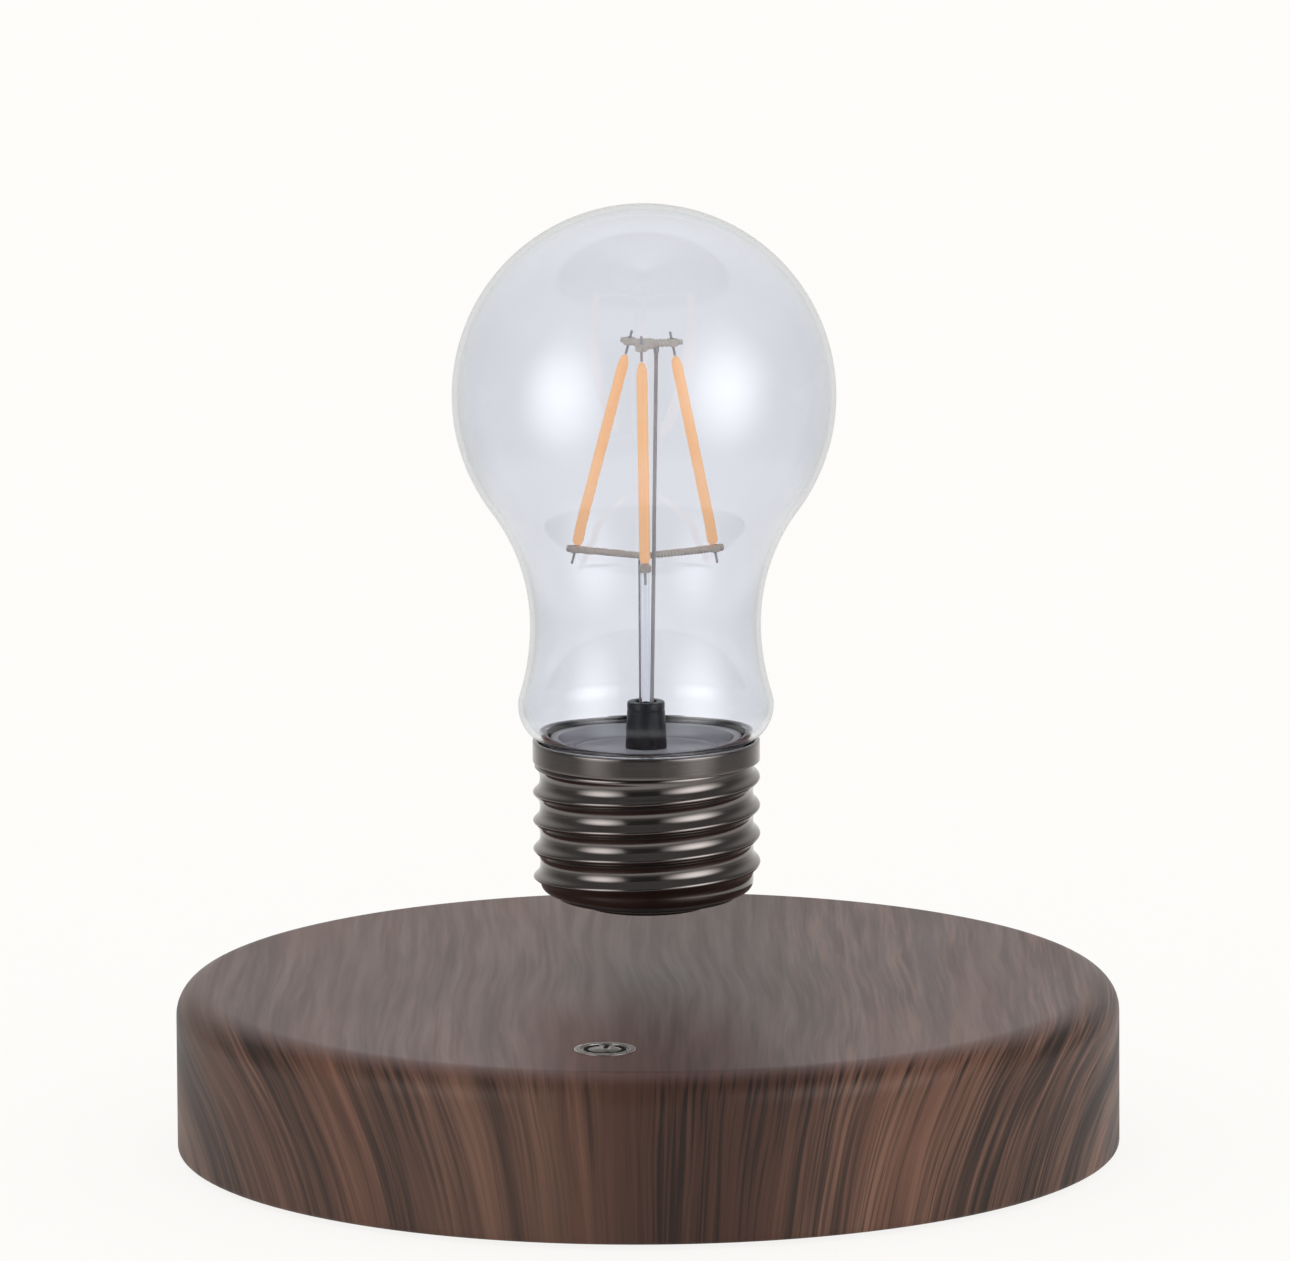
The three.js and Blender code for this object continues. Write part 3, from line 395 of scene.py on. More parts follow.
def colour(red, green, blue):
    """A colour as a shader takes it, from the screen's 0 to 255."""

    def linear(level):
        share = level / 255
        return share / 12.92 if share <= 0.04045 else ((share + 0.055) / 1.055) ** 2.4

    return linear(red), linear(green), linear(blue), 1


def walnut():
    """Printed walnut film: it lies flat on top and is drawn down over the edge, so its grain fans out."""

    def below_top(depth):
        return (BASE_TOP - depth) * MM

    material, finish = new_finish("walnut_print")
    x, y, z = finish.parts(finish.coordinates())
    right, back = polar(1, GRAIN_TURN), polar(1, GRAIN_TURN - 90)
    reach = ((x * x + y * y) ** 0.5).most(MM)
    fall = (BASE_TOP * MM - z).most(0)
    stretch = (reach + fall * (FILM_TAKE_UP - fall * FILM_EASE)) / reach
    across = (x * right[0] + y * right[1]) * stretch
    along = (x * back[0] + y * back[1]) * stretch

    # Bends in the grain, from broad to small
    sheet = finish.vector(across, along, 0)
    drift = finish.noise(finish.scaled(sheet, (14, 6, 1)), 1, 2) - 0.5
    curl = finish.noise(finish.scaled(sheet, (40, 15, 1)), 1, 1) - 0.5
    wave = finish.noise(finish.scaled(sheet, (110, 45, 1)), 1, 1) - 0.5
    wave_size = finish.eased(z, below_top(8), below_top(0), 0.0022, 0.001)
    grain = across + drift * 0.008 + curl * 0.0045 + wave * wave_size

    # Lines and bands along it, from fine to broad
    fine = finish.noise(finish.vector(grain * 1350, along * 40, 0), 1, 3, 0.6)
    streak = finish.noise(finish.vector(grain * 480, along * 19, 3), 1, 3, 0.55)
    band = finish.noise(finish.vector(grain * 120, along * 4, 7), 1, 2, 0.5)
    blush = finish.noise(finish.vector(grain * 52, along * 6, 11), 1, 2, 0.5)

    # The dark heart, and the quiet patches to the left of it
    from_heart = grain / MM - HEART_ACROSS
    heart = finish.eased(from_heart.size(), 8, 27, 1, 0)
    patches = finish.noise(finish.vector(grain * 75, along * 14, 19), 1, 1)
    calm = finish.eased(patches, 0.38, 0.54, 0.35, 1)
    lively = finish.eased(from_heart, -22, -4)
    busy = calm.most(lively)

    # Colours
    broad = (band - 0.5) * (0.62 + lively * 0.38 - heart * 0.68)
    tone = broad + ((streak - 0.5) * 0.45 + (fine - 0.5) * (0.55 + lively * 0.5)) * busy + 0.53
    wood = finish.ramp(
        tone,
        [
            (0.34, colour(44, 29, 23)),
            (0.45, colour(61, 41, 33)),
            (0.54, colour(81, 56, 45)),
            (0.63, colour(99, 70, 57)),
            (0.75, colour(122, 88, 73)),
        ],
    )
    warm = finish.mixed(finish.eased(blush, 0.5, 0.68, 0, 0.6), wood, colour(106, 69, 54))
    deep = finish.mixed(heart * 0.72, warm, colour(49, 25, 17))
    edge = finish.eased(z, below_top(7), below_top(3)) * finish.eased(z, below_top(1), below_top(0), 1, 0)
    strokes = edge * finish.eased(from_heart, -15, 12, 0.2, 0.55)
    lines = finish.eased(streak * 0.3 + fine * 0.7, 0.38, 0.5, 1, 0) * busy
    dark = finish.mixed(lines * (strokes + heart * 0.45 + lively * 0.2 + 0.15), deep, colour(33, 21, 16))
    # Painted sheen: near the top the colour is mixed towards a pale grey, standing in for the bright
    # surroundings that the satin coat reflects. There is less of it over the heart.
    painted_top_sheen = finish.eased(z, below_top(2), below_top(0), 0, 0.5) * (1 - heart * 0.4)
    finish.surface(
        Base_Color=finish.mixed(painted_top_sheen, dark, colour(97, 69, 67)),
        Roughness=finish.spread(streak, 0.47, 0.4),
        Normal=finish.bump(fine * 0.6 + streak * 0.4, 0.00004, 0.5),
        IOR=1.42,
    )
    return material


def black_nickel():
    """Dark polished plating with faint marks of the rolling round the thread."""
    material, finish = new_finish("black_nickel_plating")
    place = finish.coordinates()
    x, y, z = finish.parts(place)
    turn = finish.node("ShaderNodeMath", {"operation": "ARCTAN2"}, {0: y, 1: x})
    rolled = finish.noise(finish.vector(turn * 0.6, z * 4200, 0), 1, 2)
    cloud = finish.noise(place, 260, 3)
    tint = finish.mixed(cloud, colour(126, 121, 120), colour(135, 129, 127))
    finish.surface(
        Base_Color=tint,
        Metallic=1.0,
        Roughness=finish.spread(rolled * 0.6 + cloud * 0.4, 0.1, 0.18),
        Normal=finish.bump(rolled, 0.00001, 0.5),
    )
    return material


def clear_glass():
    """Blown glass with a cool tint that deepens where it is seen edge on."""
    material, finish = new_finish("clear_glass")
    facing = finish.node("ShaderNodeLayerWeight", sockets={"Blend": 0.35}, output="Facing")
    tint = finish.ramp(
        facing,
        [
            (0.45, (0.885, 0.9, 0.945)),
            (0.7, (0.85, 0.878, 0.89)),
            (0.9, (0.66, 0.7, 0.69)),
        ],
    )
    finish.surface(
        Base_Color=tint,
        Roughness=0.0,
        IOR=1.46,
        Transmission_Weight=1.0,
    )
    return material


def phosphor_with_painted_glow():
    """Translucent silicone with phosphor grains over a row of chips. Its faint glow is painted light: the
    filament gives off light of its own in the scene.
    """
    material, finish = new_finish("filament_phosphor")
    place = finish.coordinates()
    grains = finish.noise(place, 5200, 2)
    patches = finish.noise(place, 420, 2)
    base = finish.mixed(patches, colour(245, 178, 110), colour(243, 190, 134))
    finish.surface(
        Base_Color=finish.mixed(grains * 0.3, base, colour(232, 160, 100)),
        Roughness=finish.spread(patches, 0.45, 0.6),
        Normal=finish.bump(grains, 0.00003, 0.5),
        Sheen_Weight=1.0,
        Sheen_Roughness=0.3,
        Sheen_Tint=colour(255, 230, 214),
        # Painted glow: a faint light of the filament's own
        Emission_Color=finish.mixed(patches, colour(255, 204, 160), colour(255, 212, 176)),
        Emission_Strength=0.5,
    )
    return material


def plain_plastic(name, base, roughness, grain, speckle=1.12, shine=0.5):
    """Moulded plastic, rubber or enamel: a fine even grain with slight cloudiness."""
    material, finish = new_finish(name)
    place = finish.coordinates()
    texture = finish.noise(place, grain, 3)
    cloud = finish.noise(place, 90, 2)
    light = tuple(min(1, part * speckle) for part in base[:3]) + (1,)
    finish.surface(
        Base_Color=finish.mixed(cloud * 0.6 + texture * 0.4, base, light),
        Roughness=finish.spread(texture * 0.5 + cloud * 0.5, roughness - 0.06, roughness + 0.06),
        Normal=finish.bump(texture, 0.00003, 0.5),
        Specular_IOR_Level=shine,
    )
    return material


def plain_metal(name, base, roughness, stretch, metallic=1.0):
    """Drawn or turned metal with fine lines along one axis."""
    material, finish = new_finish(name)
    place = finish.coordinates()
    lines = finish.noise(finish.scaled(place, stretch), 1, 3)
    cloud = finish.noise(place, 300, 2)
    dull = tuple(part * 0.8 for part in base[:3]) + (1,)
    finish.surface(
        Base_Color=finish.mixed(cloud, base, dull),
        Metallic=metallic,
        Roughness=finish.spread(lines, roughness - 0.07, roughness + 0.08),
        Normal=finish.bump(lines, 0.00001, 0.6),
    )
    return material


def wound_wire():
    """Enamelled copper wire laid turn beside turn."""
    material, finish = new_finish("copper_winding")
    place = finish.coordinates()
    z = finish.parts(place)[2]
    layers = finish.node("ShaderNodeMath", {"operation": "SINE"}, {0: z * (FULL_TURN / (WIRE_PITCH * MM))})
    cloud = finish.noise(place, 400, 2)
    finish.surface(
        Base_Color=finish.mixed(cloud, colour(176, 96, 58), colour(138, 68, 38)),
        Metallic=0.9,
        Roughness=finish.spread(cloud, 0.3, 0.42),
        Normal=finish.bump(layers * 0.5 + 0.5, 0.0001),
    )
    return material


def circuit_board():
    """Green board with faint tracks under the lacquer."""
    material, finish = new_finish("circuit_board")
    place = finish.coordinates()
    tracks = finish.node("ShaderNodeTexVoronoi", {"distance": "MANHATTAN"}, {"Vector": place, "Scale": 260})
    line = finish.eased(tracks, 0.32, 0.42)
    finish.surface(
        Base_Color=finish.mixed(line * 0.6, colour(24, 78, 52), colour(52, 120, 84)),
        Roughness=finish.spread(finish.noise(place, 800, 2), 0.3, 0.42),
        Normal=finish.bump(line, 0.00003),
    )
    return material


# Making pieces


def turned(profile, steps, loop=True):
    """A shape turned about the Z axis from points of radius and height. A loop closes on itself."""
    shape = bmesh.new()
    points = [shape.verts.new((r * MM, 0, z * MM)) for r, z in profile]
    edges = [shape.edges.new(pair) for pair in zip(points, points[1:])]
    if loop:
        edges.append(shape.edges.new((points[-1], points[0])))
    bmesh.ops.spin(
        shape,
        geom=points + edges,
        cent=(0, 0, 0),
        axis=(0, 0, 1),
        dvec=(0, 0, 0),
        angle=FULL_TURN,
        steps=steps,
        use_merge=True,
        use_duplicate=False,
    )
    return tidied(shape)


def tidied(shape):
    bmesh.ops.remove_doubles(shape, verts=shape.verts, dist=MERGE)
    bmesh.ops.dissolve_degenerate(shape, edges=shape.edges, dist=MERGE)
    bmesh.ops.recalc_face_normals(shape, faces=shape.faces)
    return shape


def rod(radius, low, high, steps, edge=0.0):
    """A round bar along Z with rounded ends."""
    rounding = max(edge, LEAST_EDGE_R)
    return turned(
        [
            (0, low),
            *arc((radius - rounding, low + rounding), rounding, -90, 0, 3),
            *arc((radius - rounding, high - rounding), rounding, 0, 90, 3),
            (0, high),
        ],
        steps,
        loop=False,
    )


def moved(shape, matrix):
    bmesh.ops.transform(shape, matrix=matrix, verts=shape.verts)
    return shape


def shift(x, y, z=0):
    return Matrix.Translation((x * MM, y * MM, z * MM))


def spun(degrees, axis="Z"):
    return Matrix.Rotation(math.radians(degrees), 4, axis)


def mesh_object(name, shape):
    mesh = bpy.data.meshes.new(name)
    shape.to_mesh(mesh)
    shape.free()
    made = bpy.data.objects.new(name, mesh)
    bpy.context.scene.collection.objects.link(made)
    return made


def combined(target, tools, operation):
    """Joins other shapes to an object, or cuts them out of it."""
    for i, tool in enumerate(tools):
        other = mesh_object(f"tool_{i}", tool)
        change = target.modifiers.new("combine", "BOOLEAN")
        change.operation = operation
        change.object = other
        change.solver = "EXACT"
        bpy.context.view_layer.update()
        graph = bpy.context.evaluated_depsgraph_get()
        result = bpy.data.meshes.new_from_object(target.evaluated_get(graph))
        target.modifiers.clear()
        target.data = result
        bpy.data.objects.remove(other)


def finished(made, material, body, replaced=(), sharp=35):
    """Shades a piece, gives it its finish and lets it ride on a body."""
    mesh = made.data
    mesh.name = made.name
    mesh.materials.clear()
    mesh.materials.append(material)
    for face in mesh.polygons:
        face.use_smooth = True
        face.material_index = 0
    mesh.set_sharp_from_angle(angle=math.radians(sharp))
    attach(made, body)
    if replaced:
        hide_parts(*replaced)


# Base


def base_profile():
    ceiling_inner = INNER_R - CEILING_EDGE_R
    top_inner = BASE_R - TOP_EDGE_R
    return [
        (0, CEILING),
        (ceiling_inner - EDGE_SUPPORT, CEILING),
        *arc((ceiling_inner, CEILING - CEILING_EDGE_R), CEILING_EDGE_R, 90, 0, 6),
        (INNER_R, COVER_TOP + SEAT),
        (INNER_R + COVER_LEDGE, COVER_TOP + SEAT),
        (INNER_R + COVER_LEDGE, FOOT_PROUD),
        (BASE_R - BOTTOM_EDGE_R - EDGE_SUPPORT / 2, FOOT_PROUD),
        *arc((BASE_R - BOTTOM_EDGE_R, FOOT_PROUD + BOTTOM_EDGE_R), BOTTOM_EDGE_R, -90, 0, 5),
        (BASE_R, FOOT_PROUD + BOTTOM_EDGE_R + EDGE_SUPPORT),
        (BASE_R, BASE_TOP - TOP_EDGE_R - EDGE_SUPPORT),
        *arc((top_inner, BASE_TOP - TOP_EDGE_R), TOP_EDGE_R, 0, 90, 14),
        (top_inner - EDGE_SUPPORT, BASE_TOP),
        (0, BASE_TOP),
    ]


def make_shell(material):
    shell = mesh_object("walnut_shell", turned(base_profile(), ROUND, loop=False))
    corners = [polar(SCREW_CIRCLE, 45 + 90 * i) for i in range(4)]
    boss_top = CEILING + BOSS_IN_CEILING
    bosses = [moved(rod(BOSS_R, COVER_TOP + SEAT, boss_top, SMALL_ROUND), shift(*at)) for at in corners]
    holes = [moved(rod(SCREW_HOLE_R, 0, SCREW_HOLE_TOP, WIRE_ROUND), shift(*at)) for at in corners]
    inlet_place = shift(0, INNER_R - INLET_CUT / 2, INLET_Z) @ spun(-90, "X")
    inlet = moved(rod(INLET_HOLE_R, 0, INLET_CUT, SMALL_ROUND), inlet_place)
    switch = [
        moved(rod(SWITCH_HOLE_R, SWITCH_SEAT_Z, BASE_TOP + OVERRUN, SMALL_ROUND), shift(0, SWITCH_Y)),
        moved(rod(SWITCH_BORE_R, CEILING - OVERRUN, BASE_TOP + OVERRUN, SMALL_ROUND), shift(0, SWITCH_Y)),
    ]
    combined(shell, bosses, "UNION")
    combined(shell, [*holes, inlet, *switch], "DIFFERENCE")
    finished(shell, material, "base", ["base_shell"])


def make_switch(metal, ink):
    outer_edge, inner_edge = RING_EDGE_R
    ring = turned(
        [
            (RING_LIP_R, RING_FOOT_Z),
            (RING_R, RING_FOOT_Z),
            *arc((RING_R - outer_edge, RING_TOP - outer_edge), outer_edge, 0, 90, 4),
            *arc((RING_INNER_R + inner_edge, RING_TOP - inner_edge), inner_edge, 90, 180, 4),
            (RING_INNER_R, RING_LIP_Z),
            (RING_LIP_R, RING_LIP_Z),
        ],
        SMALL_ROUND,
    )
    plate = rod(PLATE_R, PLATE_Z, BASE_TOP, SMALL_ROUND, PLATE_EDGE_R)
    place = shift(0, SWITCH_Y)
    finished(mesh_object("switch_ring", moved(ring, place)), metal, "base", ["touch_bezel"])
    finished(mesh_object("switch_plate", moved(plate, place)), metal, "base", ["touch_plate"])
    sign = power_sign()
    finished(mesh_object("power_sign", moved(sign, place)), ink, "base")


def power_sign():
    """An open ring with a bar in its gap, the usual sign for power."""
    low, high = SIGN_Z
    inner, outer = SIGN_R - SIGN_STROKE / 2, SIGN_R + SIGN_STROKE / 2
    section = [(inner, low), (outer, low), (outer, high), (inner, high)]
    sign = bmesh.new()
    end = sign.faces.new([sign.verts.new((x * MM, 0, z * MM)) for x, z in section])
    bmesh.ops.rotate(sign, verts=sign.verts, cent=(0, 0, 0), matrix=spun(90 + SIGN_GAP / 2).to_3x3())
    bmesh.ops.spin(
        sign,
        geom=[end, *end.edges, *end.verts],
        cent=(0, 0, 0),
        axis=(0, 0, 1),
        dvec=(0, 0, 0),
        angle=math.radians(360 - SIGN_GAP),
        steps=SMALL_ROUND,
        use_merge=False,
        use_duplicate=False,
    )
    bar = bmesh.ops.create_cube(sign, size=MM)["verts"]
    first, last = SIGN_BAR
    bmesh.ops.scale(sign, verts=bar, vec=(SIGN_STROKE, last - first, high - low))
    bmesh.ops.translate(sign, verts=bar, vec=Vector((0, (first + last) / 2, (low + high) / 2)) * MM)
    bmesh.ops.recalc_face_normals(sign, faces=sign.faces)
    return sign


# Bulb


def cap_profile():
    thread_rows = round((BAND_Z - THREAD_Z) / THREAD_ROW)
    wall = [(ROOT_R, THREAD_Z + (BAND_Z - THREAD_Z) * i / thread_rows) for i in range(thread_rows + 1)]
    return [
        (CAP_LIP_R, CAP_FOOT_H),
        *arc((ROOT_R - SHOULDER_R, THREAD_Z), SHOULDER_R, -90, 0, 8)[:-1],
        *wall,
        *arc((CAP_R - BAND_EDGE_R, BAND_Z + BAND_SLOPE), BAND_EDGE_R, -60, 0, 3),
        (CAP_R, BAND_Z + BAND_SLOPE + BAND_SUPPORT[0]),
        (CAP_R, RIM_Z - RIM_EDGE_R - BAND_SUPPORT[1]),
        *arc((CAP_R - RIM_EDGE_R, RIM_Z - RIM_EDGE_R), RIM_EDGE_R, 0, 90, 5),
        *arc((RIM_INNER_R + RIM_INNER_EDGE_R, RIM_Z - RIM_INNER_EDGE_R), RIM_INNER_EDGE_R, 90, 180, 4),
        (RIM_INNER_R, GLASS_SEAT_Z),
        (BORE_R, GLASS_SEAT_Z),
        (BORE_R, CAP_FOOT_H + CAP_LIP_T),
        (CAP_LIP_R, CAP_FOOT_H + CAP_LIP_T),
    ]


def make_cap(material):
    """Screw cap: a turned wall whose threaded part is pushed out along a right-hand helix."""
    cap = turned(cap_profile(), ROUND)
    for vertex in cap.verts:
        x, y, z = vertex.co / MM
        radius = math.hypot(x, y)
        if abs(radius - ROOT_R) > 0.001 or not THREAD_Z < z < BAND_Z:
            continue
        from_crest = (z - THREAD_Z - THREAD_START) / THREAD_PITCH - math.atan2(y, x) / FULL_TURN
        swell = 0.5 + 0.5 * math.cos(FULL_TURN * from_crest)
        ridge = THREAD_SOFT_SHARE * swell + (1 - THREAD_SOFT_SHARE) * swell**THREAD_SHARPNESS
        runout = min(1, min(z - THREAD_Z, BAND_Z - z) / THREAD_RUNOUT)
        stretch = (ROOT_R + THREAD_DEPTH * ridge * runout) / radius
        vertex.co.x *= stretch
        vertex.co.y *= stretch
    thread_cap = mesh_object("thread_cap", moved(cap, BULB_PLACE))
    finished(thread_cap, material, "bulb", ["cap_shell"], sharp=50)


def make_cap_foot(material):
    foot = turned(
        [
            (0, 0),
            (FOOT_FACE_R, 0),
            *arc(FOOT_EDGE, FOOT_EDGE[1], -90, -20, 4),
            *[(radius, STEP_Z) for radius in STEP_R],
            SLOPE_FOOT,
            *arc((FOOT_NECK_R - FOOT_NECK_EDGE_R, FOOT_NECK_Z), FOOT_NECK_EDGE_R, -75, 0, 4),
            (FOOT_NECK_R, FLANGE_Z[0]),
            (FLANGE_R, FLANGE_Z[0]),
            (FLANGE_R, FLANGE_Z[1]),
            (FOOT_NECK_R, FLANGE_Z[1]),
            (FOOT_NECK_R, FOOT_TOP),
            (FOOT_BORE_R, FOOT_TOP),
            (FOOT_BORE_R, FOOT_FLOOR),
            (0, FOOT_FLOOR),
        ],
        FINE_ROUND,
        loop=False,
    )
    finished(mesh_object("cap_foot", moved(foot, BULB_PLACE)), material, "bulb", ["cap_base"])


def make_deck(material):
    """Plate under the glass: a raised ring with a rounded top round a shallow dish."""
    plate_r = INSERT_R - DECK_RING_W
    outer_edge, inner_edge = DECK_RING_EDGE_R
    deck = turned(
        [
            (0, DECK_Z - DECK_T),
            (INSERT_R - DECK_SKIRT_W, DECK_Z - DECK_T),
            (INSERT_R - DECK_SKIRT_W, RECTIFIER_TOP),
            (INSERT_R, RECTIFIER_TOP),
            *arc((INSERT_R - outer_edge, DECK_RING_Z - outer_edge), outer_edge, 0, 90, 4),
            *arc((plate_r + inner_edge, DECK_RING_Z - inner_edge), inner_edge, 90, 170, 4),
            *arc((plate_r - DECK_DISH_INSET, DECK_Z + DECK_DISH_EDGE_R), DECK_DISH_EDGE_R, -10, -90, 4),
            *[(plate_r - inwards, DECK_Z + rise) for inwards, rise in DECK_BEAD],
            (0, DECK_Z),
        ],
        FINE_ROUND,
        loop=False,
    )
    finished(mesh_object("cap_plate", moved(deck, BULB_PLACE)), material, "bulb", ["cap_deck"])


def glass_line(offset):
    """One face of the glass from the cap up to the crown, moved inwards by an offset."""
    flare_x, flare_z = FLARE_CENTRE
    low, high = (NECK_R + NECK_LOW_ARC_R, NECK_Z), (NECK_R + NECK_ARC_R, NECK_Z)
    flare_r = FLARE_ARC_R - offset
    edge_r = RIM_INNER_R - GLASS_FIT - offset
    flare_foot = -math.degrees(math.acos((edge_r - flare_x) / flare_r))
    flare_head = math.degrees(math.atan2(NECK_Z - flare_z, low[0] - flare_x))
    globe_foot = -math.degrees(math.atan2(GLOBE_Z - NECK_Z, high[0]))
    return [
        (edge_r, GLASS_SEAT_Z + SEAT),
        *arc(FLARE_CENTRE, flare_r, flare_foot, flare_head, 18),
        *arc(low, NECK_LOW_ARC_R + offset, 180 + flare_head, 180, 12)[1:],
        *arc(high, NECK_ARC_R + offset, 180, 180 + globe_foot, 16)[1:],
        *arc((0, GLOBE_Z), GLOBE_R - offset, globe_foot, 90, 48)[1:-1],
        (0, GLOBE_Z + GLOBE_R - offset),
    ]


def make_glass(material):
    outside, inside = glass_line(0), glass_line(GLASS_WALL)
    glass = mesh_object("bulb_glass", moved(turned([*outside[::-1], *inside], ROUND, loop=False), BULB_PLACE))
    finished(glass, material, "bulb", ["glass_envelope"])


def make_holder(material):
    holder = turned(
        [
            (0, HOLDER_Z),
            (HOLDER_R, HOLDER_Z),
            (HOLDER_R - HOLDER_FOOT_TAPER, HOLDER_Z + HOLDER_FOOT_H),
            *[(HOLDER_TOP_R + added, HOLDER_TOP - depth) for added, depth in HOLDER_GROOVE],
            *arc((HOLDER_TOP_R - HOLDER_EDGE_R, HOLDER_TOP - HOLDER_EDGE_R), HOLDER_EDGE_R, 0, 90, 4),
            (SOCKET_R + SOCKET_EDGE, HOLDER_TOP),
            (SOCKET_R, HOLDER_TOP - SOCKET_EDGE),
            (SOCKET_R, SOCKET_Z),
            (0, SOCKET_Z),
        ],
        SMALL_ROUND,
        loop=False,
    )
    taper = mesh_object("holder_taper", moved(holder, BULB_PLACE))
    finished(taper, material, "bulb", ["stem_holder"])


def eye_low(i):
    return Vector((*polar(LOWER_EYE_R, LOWER_ARM_ANGLE + 360 * i / FILAMENT_COUNT), LOWER_BRACKET_Z))


def eye_top(i):
    x, y = polar(TOP_EYE_R, TOP_ARM_ANGLE + 360 * i / FILAMENT_COUNT)
    return Vector((TOP_HUB[0] + x, TOP_HUB[1] + y, TOP_BRACKET_Z))


def aimed(start, end):
    """The place of a piece made along Z that runs from one point towards another."""
    turn = (end - start).to_track_quat("Z", "Y").to_matrix().to_4x4()
    return BULB_PLACE @ shift(*start) @ turn


def roughened(shape, amount, size, seed):
    """Pushes points along their normals by a smooth noise."""
    shape.normal_update()
    for vertex in shape.verts:
        value = noise.noise(vertex.co / MM * (1 / size) + Vector((seed, 0, 0)))
        vertex.co += vertex.normal * value * amount * MM
    return shape


def make_filaments(silicone, wire):
    for i in range(FILAMENT_COUNT):
        span = (eye_top(i) - eye_low(i)).length
        place = aimed(eye_low(i), eye_top(i))
        low, high = FILAMENT_FOOT_GAP, span - FILAMENT_TOP_GAP
        start, end = FILAMENT_WALL
        even = high - low - start - end
        wall = [(FILAMENT_R, low + start + even * k / FILAMENT_ROWS) for k in range(FILAMENT_ROWS + 1)]
        foot_end = [(radius, low + away) for radius, away in FILAMENT_FOOT]
        head_end = [(radius, high - away) for radius, away in FILAMENT_HEAD]
        stick = turned([*foot_end, *wall, *head_end], BAR_ROUND, loop=False)
        roughened(stick, amount=0.05, size=1.1, seed=7 * i)
        name = i + 1
        finished(
            mesh_object(f"glow_stick_{name}", moved(stick, place)),
            silicone,
            "bulb",
            [f"filament_{name}"],
        )
        foot = rod(LEAD_R, -FOOT_LEAD_DROP, low - SEAT, WIRE_ROUND, LEAD_EDGE_R)
        head = rod(LEAD_R, high + SEAT, span + TOP_LEAD_RISE, WIRE_ROUND, LEAD_EDGE_R)
        for shape, word in ((foot, "foot"), (head, "top")):
            finished(
                mesh_object(f"{word}_pin_{name}", moved(shape, place)),
                wire,
                "bulb",
                [f"{word}_lead_{name}"],
            )


def ribbed_arm(length, root_r, tip_r):
    """A wire arm along X with a finer wire wound round it."""
    rows = round(length / RIB_PITCH * RIB_ROWS)
    wall = [(root_r + (tip_r - root_r) * k / rows, length * k / rows) for k in range(rows + 1)]
    arm = turned([(0, 0), *wall, (0, length)], WIRE_ROUND, loop=False)
    for vertex in arm.verts:
        x, y, z = vertex.co / MM
        if math.hypot(x, y) < tip_r / 2 or not RIB_END <= z <= length - RIB_END:
            continue
        lay = math.cos(FULL_TURN * (z / RIB_PITCH - math.atan2(y, x) / FULL_TURN))
        grow = 1 + RIB_DEPTH * lay
        vertex.co.x *= grow
        vertex.co.y *= grow
    return moved(arm, spun(90, "Y"))


def make_bracket(name, node, arm_length, eye_r, turn, place, material, hub_r, root_r, tip_r):
    """Three ribbed arms on a soldered hub, each with an eye for a filament's wire."""
    hub_half = root_r + HUB_PROUD
    hub = rod(hub_r, -hub_half, hub_half, HUB_ROUND, HUB_EDGE_R)
    made = mesh_object(name, roughened(hub, amount=0.12, size=0.7, seed=arm_length))
    half = BRACKET_T / 2
    additions = []
    cutters = []
    for i in range(FILAMENT_COUNT):
        aside = spun(360 * i / FILAMENT_COUNT)
        arm = roughened(ribbed_arm(arm_length - ARM_SHORT, root_r, tip_r), amount=0.07, size=1.1, seed=5 * i)
        eye = aside @ shift(eye_r, 0)
        additions.append(moved(arm, aside))
        additions.append(moved(rod(EYE_BOSS_R, -half, half, BAR_ROUND, EYE_EDGE_R), eye))
        cutters.append(moved(rod(EYE_HOLE_R, -OVERRUN, OVERRUN, WIRE_ROUND), eye))
    combined(made, additions, "UNION")
    combined(made, cutters, "DIFFERENCE")
    made.data.transform(BULB_PLACE @ shift(*place) @ spun(turn))
    finished(made, material, "bulb", [node])


